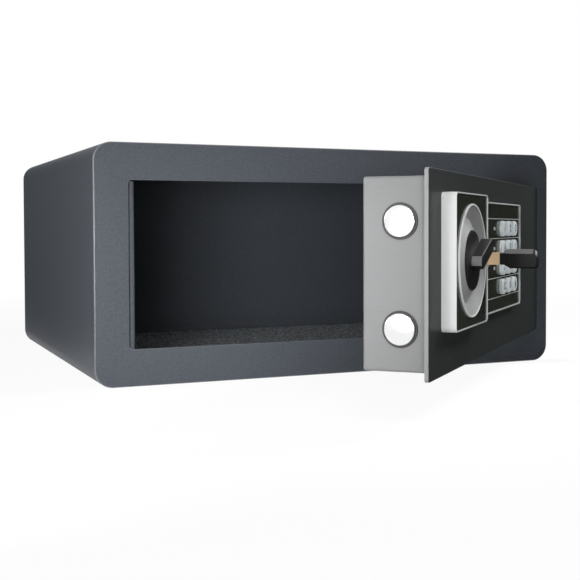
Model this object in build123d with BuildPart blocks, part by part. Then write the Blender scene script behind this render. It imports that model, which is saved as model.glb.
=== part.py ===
from build123d import *

import os
from math import cos, radians, sin

os.makedirs("parts", exist_ok=True)

# An electronic safe with its door standing open, in millimetres.
# X runs to the right, Y from front to back, Z up. The origin is the centre of the underside.

# Cabinet
width = 430.0
depth = 370.0
height = 195.0
corner_radius = 15.0
shell_wall = 3.0
frame_thickness = 3.0
back_thickness = 3.0
front_edge_round = 1.2
opening_margin = 28.0
opening_height = 135.0
opening_bottom = 30.0
opening_corner = 3.5
opening_edge_round = 0.5
weld_gap = 0.05

# Holes in the floor for the anchor bolts
anchor_hole = 10.0
anchor_pitch_x = 240.0
anchor_pitch_y = 110.0
anchor_front = 70.0

# Floor mat
mat_thickness = 3.0
mat_front = 48.0
mat_back_gap = 2.0
mat_hole_margin = 4.0

# Strike channel, which the bolts enter, folded from sheet
strike_reach = 30.5
strike_depth = 40.0
strike_sheet = 2.0
strike_bend = 2.6
strike_gap = 0.2
strike_end_gap = 14.0
strike_hole_margin = 1.0

# Door
door_angle = 44.4
door_thickness = 3.0
door_gap_free = 1.0
door_gap_hinge = 4.0
door_gap_edge = 1.0
door_edge_round = 0.6

# Door cover, a tray of galvanised sheet
cover_free_inset = 8.0
cover_hinge_inset = 24.0
cover_edge_margin = 4.7
cover_depth = 43.0
cover_sheet = 1.2
cover_bend = 1.8
cover_post_diameter = 8.0
cover_post_end_inset = 12.0
cover_post_edge_inset = 8.0
cover_screw_shank = 4.0
cover_screw_head = 7.5
cover_screw_head_height = 2.2
cover_screw_length = 10.0

# Hinges: gooseneck arms of bent strip, swinging on pins behind the door frame
pin_from_opening = 12.0
pin_depth = 16.0
pin_diameter = 6.0
pin_head_diameter = 9.5
pin_head_height = 2.2
pin_chamfer = 0.6
pin_clearance = 0.04
arm_clearance = 0.08
arm_strip = 4.0
arm_height = 20.0
arm_rise = 24.0
arm_leg = 26.0
arm_foot = 12.0
arm_bend = 6.0
hinge_pitch = 81.0
ear_sheet = 3.0
ear_radius = 8.0
ear_gap = 0.5
bracket_sheet = 2.0
bracket_length = 24.0

# Bolts, drawn back, with the tips a little proud of the cover
bolt_diameter = 20.5
bolt_length = 45.0
bolt_depth = 21.0
bolt_pitch = 68.0
bolt_drop = 0.5
bolt_proud = 2.6
bolt_chamfer = 1.2
bolt_throw = 12.0
bolt_stud_diameter = 8.0
bolt_stud_rivet = 1.5
bolt_clearance = 0.08
bush_flange_diameter = 24.6
bush_flange = 1.0
bush_wall = 0.9
bush_length = 6.0

# Bolt carriage, a bracket of plate
carriage_sheet = 3.0
carriage_front = 9.5
carriage_flange_height = 92.0
carriage_flange_depth = 22.0
carriage_plate_end = 122.0
carriage_plate_bottom = 82.0
carriage_plate_top = 118.0
carriage_corner = 2.0
guide_stud_diameter = 6.0
guide_stud_head = 10.0
guide_stud_head_height = 2.0
guide_stud_height = 89.0
guide_stud_first = 62.0
guide_stud_second = 104.0
guide_clearance = 0.1
guide_end_gap = 0.5

# Knob and its cam
knob_s = 73.5
knob_z = 104.5
knob_turn = 90.0
knob_disc_diameter = 40.0
knob_disc_thickness = 2.5
knob_face = 10.4
knob_boss_diameter = 13.0
knob_boss_gap = 0.3
knob_disc_round = 0.4
lever_length = 38.5
lever_width = 10.0
lever_height = 7.2
lever_offset = 12.25
lever_angle = 21.0
lever_edge_round = 1.2
spindle_diameter = 8.0
spindle_square = 6.0
spindle_seat = 2.0
spindle_clearance = 0.05
knob_bush_diameter = 12.0
knob_bush_flange = 16.0
knob_bush_flange_height = 1.2
knob_bush_back = 1.0
cam_front = 4.8
cam_thickness = 3.7
cam_hub_radius = 8.0
cam_tip_radius = 4.5
cam_pin_diameter = 5.0
cam_pin_beyond = 1.5
cam_slot_clearance = 0.4

# Blocker: a solenoid plunger that drops beside the lug of the carriage
blocker_s = 95.0
blocker_throw = 4.0
lug_width = 4.0
lug_height = 6.0
lug_gap = 0.5
plunger_diameter = 4.5
plunger_clearance = 0.1
plunger_stub_diameter = 2.8
solenoid_width = 22.0
solenoid_height = 20.0
solenoid_lift = 2.5
solenoid_wrap = 1.5
solenoid_waist = 1.0
solenoid_corner = 1.0
link_sheet = 2.0
link_tab = 8.0
link_arm_height = 4.5
link_leg_width = 8.0
link_tip_width = 3.0
link_guide_diameter = 4.0
link_guide_head = 8.0
link_guide_above = 32.0

# Lock cylinder for the emergency key
lock_s = 140.0
lock_z = 104.0
lock_barrel_diameter = 19.0
lock_neck_diameter = 16.0
lock_plug_diameter = 12.0
lock_back = 9.5
lock_proud = 0.2
lock_chamfer = 0.4
lock_clearance = 0.05
lock_nut_across = 23.0
lock_nut_height = 4.0
lock_turn = 90.0
release_cam_radius = 12.0
release_cam_thickness = 2.6
release_cam_gap = 0.3
release_cam_front = 10.2
release_cam_hub = 6.5
release_hub_angle = 30.0
release_hub_overlap = 1.0
release_nose_angle = 6.0
release_tail_square = 6.0
release_tail_beyond = 1.0

# Emergency key
key_blade_height = 9.2
key_blade_thickness = 2.2
key_blade_end = 14.4
key_blade_inside = 8.0
keyway_clearance = 0.08
key_collar_height = 9.0
key_collar_thickness = 6.0
key_collar_end = 17.6
key_collar_corner = 1.0
key_head_height = 14.0
key_head_thickness = 8.0
key_head_end = 42.0
key_head_taper = 4.5
key_head_corner = 1.5
key_head_round = 1.0
key_tang_length = 5.0

# Lock block, the square moulding round the knob
block_s = 28.5
block_width = 90.0
block_height = 90.1
block_bottom = 59.6
block_depth = 10.0
block_corner = 3.5
block_wall = 2.0
block_lip = 0.8
block_face_recess = 0.75
block_face_thickness = 1.0
block_web = 1.25
moulding_edge_round = 0.5
boss_diameter = 7.0
block_boss_inset = 7.0
fascia_screw_diameter = 3.0
fascia_screw_head = 5.5
fascia_screw_head_height = 1.8
fascia_screw_engaged = 3.0
screw_clearance = 0.05

# Knob dish, a round trough
dish_radius = 38.3
dish_lip_inner = 37.4
dish_lip = 10.4
dish_valley_radius = 29.0
dish_valley = 4.8
dish_ridge_radius = 20.4
dish_ridge = 9.4
dish_floor = 7.6
dish_bore_radius = 7.2
dish_wall = 1.5

# Keypad
panel_width = 140.0
panel_bottom = 62.6
panel_height = 82.8
panel_depth = 6.0
panel_corner = 3.0
panel_wall = 2.0
panel_lip = 0.9
panel_face_recess = 1.0
panel_face_thickness = 0.8
panel_web = 0.8
panel_boss_inset_s = 7.0
panel_boss_inset_z = 6.4
face_gap = 0.1
button_length = 15.5
button_height = 12.0
button_proud = 2.2
button_pitch_s = 21.0
button_pitch_z = 15.0
button_first_s = 188.0
button_top_z = 125.8
button_gap = 0.3
button_flange = 0.8
button_flange_thickness = 0.7
button_bevel = 0.8
keypad_board_thickness = 1.0
keypad_board_margin = 8.0
mat_rubber = 0.5

# Control board
board_s = 160.0
board_width = 68.0
board_bottom = 62.0
board_height = 72.0
board_thickness = 1.6
board_standoff = 5.4
board_standoff_diameter = 6.0
board_corner_inset = 5.0
board_corner = 2.0
connector_length = 20.0
connector_width = 4.0
connector_s = 190.0
connector_z = 74.0
connector_clearance = 1.0
chip_width = 14.0
chip_height = 3.0
chip_offset = (-8.0, 6.0)
socket_width = 8.0
socket_length = 16.0
socket_offset = (20.0, -18.0)
buzzer_diameter = 13.0
buzzer_height = 6.0
buzzer_offset = (17.0, 16.0)

# Batteries
cell_diameter = 14.2
cell_length = 50.0
cell_count = 4
cell_pitch = 14.8
cell_gap = 0.3
cell_nub_diameter = 5.2
cell_nub = 1.2
holder_wall = 1.5
holder_end_inset = 63.0
holder_z = 97.5
battery_cover_overlap = 3.0
battery_cover_thickness = 1.6
battery_cover_corner = 3.0
battery_cover_round = 0.6
groove_length = 24.0
groove_width = 6.0
groove_inset = 6.0

# Reset switch on the rear of the cover
reset_s = 232.0
reset_z = 148.0
reset_diameter = 6.0
reset_flange_diameter = 8.0
reset_flange = 1.0
reset_travel = 1.0
reset_proud = 1.4
reset_body = 12.0
reset_body_depth = 8.0
reset_body_corner = 1.0
reset_round = 0.5
reset_clearance = 0.15

# Frames of reference for the front face, the door face and the hinge axis
opening_width = width - 2 * opening_margin
front = Plane.XZ.offset(depth / 2)
pin_at = Vector(opening_width / 2 + pin_from_opening, -depth / 2 + pin_depth, 0)
along = Vector(cos(radians(door_angle)), sin(radians(door_angle)), 0)
outward = Vector(sin(radians(door_angle)), -cos(radians(door_angle)), 0)
up = Vector(0, 0, 1)
pin_s = opening_width + pin_from_opening - door_gap_free
corner = pin_at - along * pin_s + outward * pin_depth
door_face = Plane(origin=corner, x_dir=along, z_dir=outward)


def on_door(out):
    """Plane parallel to the door: x along it from the free edge, y is the height, z outward."""
    return door_face.offset(out)


def door_spot(s, z, out):
    """Plane parallel to the door, with its origin at a point of it."""
    return Plane(origin=corner + along * s + up * z + outward * out, x_dir=along, z_dir=outward)


def door_plan(s, out, z):
    """Level plane at a point of the door: x along the door, y into the cabinet side."""
    return Plane(origin=corner + along * s + outward * out + up * z, x_dir=along, z_dir=up)


def door_end(s):
    """Plane square to the door's length: x outward, y is the height, z toward the free edge."""
    return Plane(origin=corner + along * s, x_dir=outward, z_dir=-along)


# Sizes that follow from the ones above
inner_half = width / 2 - shell_wall
opening_mid = opening_bottom + opening_height / 2
door_width = opening_width - door_gap_free - door_gap_hinge
door_height = opening_height - 2 * door_gap_edge
door_back = -door_thickness
cover_back = door_back - cover_depth
cover_width = door_width - cover_free_inset - cover_hinge_inset
cover_height = door_height - 2 * cover_edge_margin
cover_mid_s = cover_free_inset + cover_width / 2
holder_s = cover_free_inset + cover_width - holder_end_inset
bolt_z = [opening_mid - bolt_drop - bolt_pitch / 2, opening_mid - bolt_drop + bolt_pitch / 2]
bolt_tip = cover_free_inset - bolt_proud
flange_s = bolt_tip + bolt_length
carriage_back = -carriage_front - carriage_sheet
hinge_z = [opening_mid - hinge_pitch / 2, opening_mid + hinge_pitch / 2]
block_mid_s = block_s + block_width / 2
block_mid_z = block_bottom + block_height / 2
panel_s = block_s + block_width
panel_mid_s = panel_s + panel_width / 2
panel_mid_z = panel_bottom + panel_height / 2
panel_face = panel_depth - panel_face_recess
panel_web_front = panel_face - panel_face_thickness
button_s = [button_first_s + i * button_pitch_s for i in range(3)]
button_z = [button_top_z - i * button_pitch_z for i in range(4)]
buttons_mid = (button_s[1], (button_z[0] + button_z[3]) / 2)
anchor_mid_y = -depth / 2 + anchor_front + anchor_pitch_y / 2

# Cabinet

# Front frame: the plate round the doorway, with a softly rounded outer edge
with BuildPart() as front_frame:
    with BuildSketch(front):
        RectangleRounded(width, height, corner_radius, align=(Align.CENTER, Align.MIN))
        with Locations((0, opening_mid)):
            RectangleRounded(opening_width, opening_height, opening_corner, mode=Mode.SUBTRACT)
    extrude(amount=-frame_thickness)
    front_side = front_frame.faces().sort_by(Axis.Y)[0]
    fillet(front_side.outer_wire().edges(), front_edge_round)
    front_side = front_frame.faces().sort_by(Axis.Y)[0]
    fillet(front_side.inner_wires()[0].edges(), opening_edge_round)
front_frame.part.label = "front_frame"
export_step(front_frame.part, "parts/front_frame.step")

# Body shell: one wrap of sheet with round corners, bored through its floor for the anchors
with BuildPart() as body_shell:
    with BuildSketch(front.offset(-frame_thickness)):
        RectangleRounded(width, height, corner_radius, align=(Align.CENTER, Align.MIN))
        with Locations((0, height / 2)):
            RectangleRounded(
                width - 2 * shell_wall, height - 2 * shell_wall,
                corner_radius - shell_wall, mode=Mode.SUBTRACT,
            )
    extrude(amount=-(depth - frame_thickness))
    with BuildSketch(Plane.XY):
        with Locations((0, anchor_mid_y)):
            with GridLocations(anchor_pitch_x, anchor_pitch_y, 2, 2):
                Circle(anchor_hole / 2)
    extrude(amount=shell_wall, mode=Mode.SUBTRACT)
body_shell.part.label = "body_shell"
export_step(body_shell.part, "parts/body_shell.step")

# Back panel: let into the rear end of the shell
with BuildPart() as back_panel:
    with BuildSketch(Plane.XZ.offset(-depth / 2)):
        with Locations((0, height / 2)):
            RectangleRounded(
                width - 2 * shell_wall - 2 * weld_gap, height - 2 * shell_wall - 2 * weld_gap,
                corner_radius - shell_wall - weld_gap,
            )
    extrude(amount=back_thickness)
back_panel.part.label = "back_panel"
export_step(back_panel.part, "parts/back_panel.step")

# Floor mat: carpet between the side walls, punched over the anchor holes
mat_y0 = -depth / 2 + mat_front
mat_y1 = depth / 2 - back_thickness - mat_back_gap
with BuildPart() as floor_mat:
    with BuildSketch(Plane.XY.offset(shell_wall)):
        with Locations((0, (mat_y0 + mat_y1) / 2)):
            Rectangle(width - 2 * corner_radius, mat_y1 - mat_y0)
        with Locations((0, anchor_mid_y)):
            with GridLocations(anchor_pitch_x, anchor_pitch_y, 2, 2):
                Circle(anchor_hole / 2 + mat_hole_margin, mode=Mode.SUBTRACT)
    extrude(amount=mat_thickness)
floor_mat.part.label = "floor_mat"
export_step(floor_mat.part, "parts/floor_mat.step")

# Strike channel: front flange, web with the two bolt holes, and rear flange back to the wall
strike_x0 = -inner_half
strike_x1 = -inner_half + strike_reach
strike_y0 = -depth / 2 + frame_thickness + strike_gap
strike_y1 = strike_y0 + strike_depth
strike_height = height - 2 * (shell_wall + strike_end_gap)
with BuildPart() as strike_channel:
    with BuildSketch(Plane.XY.offset(shell_wall + strike_end_gap)) as strike_section:
        with Locations(((strike_x0 + strike_x1) / 2, (strike_y0 + strike_y1) / 2)):
            Rectangle(strike_reach, strike_depth)
        folds = strike_section.vertices().group_by(Axis.X)[-1]
        fillet(folds, strike_bend)
        with BuildLine():
            inner_line = FilletPolyline(
                (strike_x0, strike_y0 + strike_sheet),
                (strike_x1 - strike_sheet, strike_y0 + strike_sheet),
                (strike_x1 - strike_sheet, strike_y1 - strike_sheet),
                (strike_x0, strike_y1 - strike_sheet),
                radius=strike_bend - strike_sheet,
            )
            Line(inner_line @ 1, inner_line @ 0)
        make_face(mode=Mode.SUBTRACT)
    extrude(amount=strike_height)
    with BuildSketch(Plane.YZ.offset(strike_x1)):
        with Locations([(-depth / 2 + bolt_depth, z) for z in bolt_z]):
            Circle(bolt_diameter / 2 + strike_hole_margin)
    extrude(amount=-strike_sheet, mode=Mode.SUBTRACT)
strike_channel.part.label = "strike_channel"
export_step(strike_channel.part, "parts/strike_channel.step")

# Hinge brackets: each a web on the side wall with two ears that hold the pin
ear_inner = arm_height / 2 + ear_gap
for name, z in zip(("lower", "upper"), hinge_z):
    with BuildPart() as hinge_bracket:
        with BuildSketch(Plane.XY.offset(z - ear_inner - ear_sheet)):
            with Locations((inner_half - bracket_sheet / 2, pin_at.Y)):
                Rectangle(bracket_sheet, bracket_length)
        extrude(amount=2 * (ear_inner + ear_sheet))
        for level in (z - ear_inner - ear_sheet, z + ear_inner):
            with BuildSketch(Plane.XY.offset(level)):
                with Locations((pin_at.X, pin_at.Y)):
                    Circle(ear_radius)
                with Locations((inner_half - bracket_sheet / 2, pin_at.Y)):
                    Rectangle(bracket_sheet, bracket_length)
                make_hull()
                with Locations((pin_at.X, pin_at.Y)):
                    Circle(pin_diameter / 2 + pin_clearance, mode=Mode.SUBTRACT)
            extrude(amount=ear_sheet)
    hinge_bracket.part.label = f"hinge_bracket_{name}"
    export_step(hinge_bracket.part, f"parts/hinge_bracket_{name}.step")

# Hinge pins: each dropped through its bracket, with a low round head on top
for name, z in zip(("lower", "upper"), hinge_z):
    with BuildPart() as hinge_pin:
        with BuildSketch(Plane.XY.offset(z - ear_inner - ear_sheet)):
            with Locations((pin_at.X, pin_at.Y)):
                Circle(pin_diameter / 2)
        extrude(amount=2 * (ear_inner + ear_sheet))
        with BuildSketch(Plane.XY.offset(z + ear_inner + ear_sheet)):
            with Locations((pin_at.X, pin_at.Y)):
                Circle(pin_head_diameter / 2)
        extrude(amount=pin_head_height)
        chamfer(hinge_pin.edges().group_by(Axis.Z)[-1], pin_head_height / 2)
        chamfer(hinge_pin.edges().group_by(Axis.Z)[0], pin_chamfer)
    hinge_pin.part.label = f"hinge_pin_{name}"
    export_step(hinge_pin.part, f"parts/hinge_pin_{name}.step")

# Door shell

# Door plate, bored for the knob, the lock, the keypad connector and the fascia screws
block_bosses = (
    block_mid_s, block_mid_z,
    block_width - 2 * block_boss_inset, block_height - 2 * block_boss_inset,
)
panel_bosses = (
    panel_mid_s, panel_mid_z,
    panel_width - 2 * panel_boss_inset_s, panel_height - 2 * panel_boss_inset_z,
)
with BuildPart() as door_plate:
    with BuildSketch(on_door(0)):
        with Locations((door_width / 2, opening_mid)):
            RectangleRounded(door_width, door_height, opening_corner - door_gap_edge)
        with Locations((knob_s, knob_z)):
            Circle(knob_bush_diameter / 2 + weld_gap, mode=Mode.SUBTRACT)
        with Locations((lock_s, lock_z)):
            Circle(lock_barrel_diameter / 2 + weld_gap, mode=Mode.SUBTRACT)
        with Locations((connector_s, connector_z)):
            Rectangle(
                connector_length + 2 * connector_clearance,
                connector_width + 2 * connector_clearance, mode=Mode.SUBTRACT,
            )
        for mid_s, mid_z, pitch_s, pitch_z in (block_bosses, panel_bosses):
            with Locations((mid_s, mid_z)):
                with GridLocations(pitch_s, pitch_z, 2, 2):
                    Circle(fascia_screw_diameter / 2 + screw_clearance, mode=Mode.SUBTRACT)
    extrude(amount=-door_thickness)
    outer_side = door_plate.faces().sort_by(Axis((0, 0, 0), outward))[-1]
    fillet(outer_side.outer_wire().edges(), door_edge_round)
door_plate.part.label = "door_plate"
export_step(door_plate.part, "parts/door_plate.step")

# Posts that carry the door cover: round bars on the plate, tapped at their ends
post_pitch_s = cover_width / 2 - cover_post_end_inset
post_pitch_z = cover_height - 2 * cover_post_edge_inset
post_length = cover_depth - cover_sheet
with BuildPart() as cover_posts:
    with BuildSketch(on_door(door_back)):
        with Locations((cover_mid_s, opening_mid)):
            with GridLocations(post_pitch_s, post_pitch_z, 3, 2):
                Circle(cover_post_diameter / 2)
    extrude(amount=-post_length)
    with BuildSketch(on_door(door_back - post_length)):
        with Locations((cover_mid_s, opening_mid)):
            with GridLocations(post_pitch_s, post_pitch_z, 3, 2):
                Circle(cover_screw_shank / 2 + screw_clearance)
    extrude(amount=cover_screw_length, mode=Mode.SUBTRACT)
cover_posts.part.label = "cover_posts"
export_step(cover_posts.part, "parts/cover_posts.step")

# Door cover: a tray of thin sheet with bent edges, open toward the plate
holder_width = (cell_count - 1) * cell_pitch + cell_diameter + 2 * (cell_gap + holder_wall)
holder_height = cell_length + cell_nub + 2 * (cell_gap + holder_wall)
with BuildPart() as door_cover:
    with BuildSketch(on_door(door_back)):
        with Locations((cover_mid_s, opening_mid)):
            Rectangle(cover_width, cover_height)
    extrude(amount=-cover_depth)
    bends = door_cover.edges() - door_cover.faces().sort_by(Axis((0, 0, 0), outward))[-1].edges()
    fillet(bends, cover_bend)
    open_side = door_cover.faces().sort_by(Axis((0, 0, 0), outward))[-1]
    offset(amount=-cover_sheet, openings=open_side)
    with BuildSketch(door_end(cover_free_inset)):
        with Locations([(-bolt_depth, z) for z in bolt_z]):
            Circle(bolt_diameter / 2 + bolt_clearance + bush_wall + weld_gap)
    extrude(amount=-cover_sheet, mode=Mode.SUBTRACT)
    with BuildSketch(on_door(cover_back)):
        with Locations((holder_s, holder_z)):
            Rectangle(holder_width - 2 * holder_wall, holder_height - 2 * holder_wall)
        with Locations((reset_s, reset_z)):
            Circle(reset_diameter / 2 + reset_clearance)
        with Locations((cover_mid_s, opening_mid)):
            with GridLocations(post_pitch_s, post_pitch_z, 3, 2):
                Circle(cover_screw_shank / 2 + screw_clearance)
    extrude(amount=cover_sheet, mode=Mode.SUBTRACT)
door_cover.part.label = "door_cover"
export_step(door_cover.part, "parts/door_cover.step")

# Cover screws: pan heads on the rear face of the cover
with BuildPart() as cover_screws:
    with BuildSketch(on_door(cover_back)):
        with Locations((cover_mid_s, opening_mid)):
            with GridLocations(post_pitch_s, post_pitch_z, 3, 2):
                Circle(cover_screw_head / 2)
    extrude(amount=-cover_screw_head_height)
    rims = cover_screws.edges().group_by(Axis((0, 0, 0), outward))[0]
    chamfer(rims, cover_screw_head_height / 2)
    with BuildSketch(on_door(cover_back)):
        with Locations((cover_mid_s, opening_mid)):
            with GridLocations(post_pitch_s, post_pitch_z, 3, 2):
                Circle(cover_screw_shank / 2)
    extrude(amount=cover_screw_length)
cover_screws.part.label = "cover_screws"
export_step(cover_screws.part, "parts/cover_screws.step")

# Hinge arms: strip bent from a foot on the plate, back past the frame edge and round the pin
eye_radius = pin_diameter / 2 + arm_clearance + arm_strip
for name, z in zip(("lower", "upper"), hinge_z):
    with BuildPart() as hinge_arm:
        with BuildSketch(door_plan(pin_s, -pin_depth, z - arm_height / 2)):
            with BuildLine():
                FilletPolyline(
                    (-arm_leg - arm_foot, door_thickness - pin_depth + arm_strip / 2),
                    (-arm_leg + arm_strip / 2, door_thickness - pin_depth + arm_strip / 2),
                    (-arm_leg + arm_strip / 2, arm_rise - arm_strip / 2),
                    (eye_radius - arm_strip / 2, arm_rise - arm_strip / 2),
                    (eye_radius - arm_strip / 2, 0),
                    radius=arm_bend - arm_strip / 2,
                )
            trace(line_width=arm_strip)
            Circle(eye_radius)
            Circle(pin_diameter / 2 + arm_clearance, mode=Mode.SUBTRACT)
        extrude(amount=arm_height)
    hinge_arm.part.label = f"hinge_arm_{name}"
    export_step(hinge_arm.part, f"parts/hinge_arm_{name}.step")

# Bolt work

# Bolts: turned bars with a riveted stud behind, one above the other
for name, z in zip(("lower", "upper"), bolt_z):
    with BuildPart() as bolt:
        with BuildSketch(door_end(flange_s)):
            with Locations((-bolt_depth, z)):
                Circle(bolt_diameter / 2)
        extrude(amount=bolt_length)
        chamfer(bolt.edges().group_by(Axis((0, 0, 0), along))[0], bolt_chamfer)
        with BuildSketch(door_end(flange_s)):
            with Locations((-bolt_depth, z)):
                Circle(bolt_stud_diameter / 2)
        extrude(amount=-(carriage_sheet + bolt_stud_rivet))
    bolt.part.label = f"bolt_{name}"
    export_step(bolt.part, f"parts/bolt_{name}.step")

# Bolt bushes: flanged sleeves in the free end of the cover
bush_bore = bolt_diameter / 2 + bolt_clearance
with BuildPart() as bolt_bushes:
    with BuildSketch(door_end(cover_free_inset)):
        with Locations([(-bolt_depth, z) for z in bolt_z]):
            Circle(bush_flange_diameter / 2)
            Circle(bush_bore, mode=Mode.SUBTRACT)
    extrude(amount=bush_flange)
    with BuildSketch(door_end(cover_free_inset)):
        with Locations([(-bolt_depth, z) for z in bolt_z]):
            Circle(bush_bore + bush_wall)
            Circle(bush_bore, mode=Mode.SUBTRACT)
    extrude(amount=-bush_length)
bolt_bushes.part.label = "bolt_bushes"
export_step(bolt_bushes.part, "parts/bolt_bushes.step")

# Bolt carriage: a flange across both bolts and a plate with guide slots, cam slot and lug
cam_pin_radius = bolt_throw / (2 * sin(radians(knob_turn / 2)))
cam_pin_start = cam_pin_radius * cos(radians(knob_turn / 2))
slot_half = cam_pin_diameter / 2 + cam_slot_clearance
slot_bottom = cam_pin_start - slot_half
slot_top = cam_pin_radius + slot_half
guide_travel = bolt_throw + guide_stud_diameter + 2 * guide_end_gap
lug_s = blocker_s + bolt_throw / 2
with BuildPart() as bolt_carriage:
    with BuildSketch(door_end(flange_s)):
        with Locations((-carriage_front - carriage_flange_depth / 2, opening_mid - bolt_drop)):
            RectangleRounded(carriage_flange_depth, carriage_flange_height, carriage_corner)
        with Locations([(-bolt_depth, z) for z in bolt_z]):
            Circle(bolt_stud_diameter / 2 + screw_clearance, mode=Mode.SUBTRACT)
    extrude(amount=-carriage_sheet)
    with BuildSketch(on_door(-carriage_front)):
        with Locations((flange_s, carriage_plate_bottom)):
            Rectangle(
                carriage_plate_end - flange_s, carriage_plate_top - carriage_plate_bottom,
                align=(Align.MIN, Align.MIN),
            )
        with Locations((lug_s, carriage_plate_top)):
            Rectangle(lug_width, lug_height, align=(Align.CENTER, Align.MIN))
        with Locations((knob_s + cam_pin_start, knob_z + (slot_bottom + slot_top) / 2)):
            SlotOverall(slot_top - slot_bottom, 2 * slot_half, rotation=90, mode=Mode.SUBTRACT)
        for s in (guide_stud_first, guide_stud_second):
            with Locations((s + bolt_throw / 2, guide_stud_height)):
                SlotOverall(
                    guide_travel, guide_stud_diameter + 2 * guide_clearance, mode=Mode.SUBTRACT,
                )
    extrude(amount=-carriage_sheet)
bolt_carriage.part.label = "bolt_carriage"
export_step(bolt_carriage.part, "parts/bolt_carriage.step")

# Guide studs: two shouldered studs for the carriage and a thinner one for the release link
link_back = -release_cam_front - link_sheet
link_guide_z = lock_z + link_guide_above
with BuildPart() as guide_studs:
    with BuildSketch(on_door(door_back)):
        with Locations([(s, guide_stud_height) for s in (guide_stud_first, guide_stud_second)]):
            Circle(guide_stud_diameter / 2)
    extrude(amount=-(carriage_front - door_thickness + carriage_sheet + guide_end_gap))
    with BuildSketch(on_door(carriage_back - guide_end_gap)):
        with Locations([(s, guide_stud_height) for s in (guide_stud_first, guide_stud_second)]):
            Circle(guide_stud_head / 2)
    extrude(amount=-guide_stud_head_height)
    with BuildSketch(on_door(door_back)):
        with Locations((lock_s, link_guide_z)):
            Circle(link_guide_diameter / 2)
    extrude(amount=link_back - guide_end_gap - door_back)
    with BuildSketch(on_door(link_back - guide_end_gap)):
        with Locations((lock_s, link_guide_z)):
            Circle(link_guide_head / 2)
    extrude(amount=-guide_stud_head_height / 2)
guide_studs.part.label = "guide_studs"
export_step(guide_studs.part, "parts/guide_studs.step")

# Knob bush: flanged sleeve through the door plate
with BuildPart() as knob_bush:
    with BuildSketch(on_door(0)):
        with Locations((knob_s, knob_z)):
            Circle(knob_bush_flange / 2)
    extrude(amount=knob_bush_flange_height)
    with BuildSketch(on_door(0)):
        with Locations((knob_s, knob_z)):
            Circle(knob_bush_diameter / 2)
    extrude(amount=-(door_thickness + knob_bush_back))
    with BuildSketch(on_door(knob_bush_flange_height)):
        with Locations((knob_s, knob_z)):
            Circle(spindle_diameter / 2 + spindle_clearance)
    extrude(amount=-(knob_bush_flange_height + door_thickness + knob_bush_back), mode=Mode.SUBTRACT)
knob_bush.part.label = "knob_bush"
export_step(knob_bush.part, "parts/knob_bush.step")

# Knob spindle: round through the bush and up into the knob, square behind for the cam
knob_back = knob_face - knob_disc_thickness
spindle_top = knob_face - spindle_seat
with BuildPart() as knob_spindle:
    with BuildSketch(on_door(-cam_front)):
        with Locations((knob_s, knob_z)):
            Circle(spindle_diameter / 2)
    extrude(amount=cam_front + spindle_top)
    with BuildSketch(on_door(-cam_front)):
        with Locations((knob_s, knob_z)):
            Rectangle(spindle_square, spindle_square)
    extrude(amount=-cam_thickness)
knob_spindle.part.label = "knob_spindle"
export_step(knob_spindle.part, "parts/knob_spindle.step")

# Knob: a black disc with a boss behind and a round-ended lever standing on its face
with BuildPart() as knob:
    with BuildSketch(on_door(knob_back)):
        with Locations((knob_s, knob_z)):
            Circle(knob_disc_diameter / 2)
    extrude(amount=knob_disc_thickness)
    disc_rim = knob.edges().group_by(Axis((0, 0, 0), outward))[-1]
    chamfer(disc_rim, knob_disc_round)
    with BuildSketch(on_door(knob_back)):
        with Locations((knob_s, knob_z)):
            Circle(knob_boss_diameter / 2)
    extrude(amount=-(knob_back - knob_bush_flange_height - knob_boss_gap))
    lever_s = knob_s + lever_offset * cos(radians(lever_angle))
    lever_z = knob_z + lever_offset * sin(radians(lever_angle))
    with BuildSketch(on_door(knob_face)):
        with Locations(Location((lever_s, lever_z), lever_angle)):
            SlotOverall(lever_length, lever_width)
    extrude(amount=lever_height)
    lever_rim = knob.edges().group_by(Axis((0, 0, 0), outward))[-1]
    fillet(lever_rim, lever_edge_round)
    with BuildSketch(on_door(knob_bush_flange_height)):
        with Locations((knob_s, knob_z)):
            Circle(spindle_diameter / 2 + spindle_clearance)
    extrude(amount=spindle_top - knob_bush_flange_height, mode=Mode.SUBTRACT)
knob.part.label = "knob"
export_step(knob.part, "parts/knob.step")

# Drive cam: a pear-shaped plate on the square, with a pin into the slot of the carriage
with BuildPart() as drive_cam:
    with BuildSketch(on_door(-cam_front)):
        with Locations((knob_s, knob_z)):
            Circle(cam_hub_radius)
        with Locations((knob_s + cam_pin_start, knob_z + cam_pin_start)):
            Circle(cam_tip_radius)
        make_hull()
        with Locations((knob_s, knob_z)):
            Rectangle(
                spindle_square + 2 * spindle_clearance, spindle_square + 2 * spindle_clearance,
                mode=Mode.SUBTRACT,
            )
    extrude(amount=-cam_thickness)
    cam_back = -cam_front - cam_thickness
    with BuildSketch(on_door(cam_back)):
        with Locations((knob_s + cam_pin_start, knob_z + cam_pin_start)):
            Circle(cam_pin_diameter / 2)
    extrude(amount=-(cam_back - carriage_back + cam_pin_beyond))
drive_cam.part.label = "drive_cam"
export_step(drive_cam.part, "parts/drive_cam.step")

# Blocker

blocker_out = -carriage_front - carriage_sheet / 2
plunger_bottom = carriage_plate_top + lug_height + lug_gap
solenoid_bottom = plunger_bottom + solenoid_lift
solenoid_top = solenoid_bottom + solenoid_height
solenoid_depth = 2 * (-blocker_out - door_thickness)
link_tab_z = solenoid_top + blocker_throw + lug_gap

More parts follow.
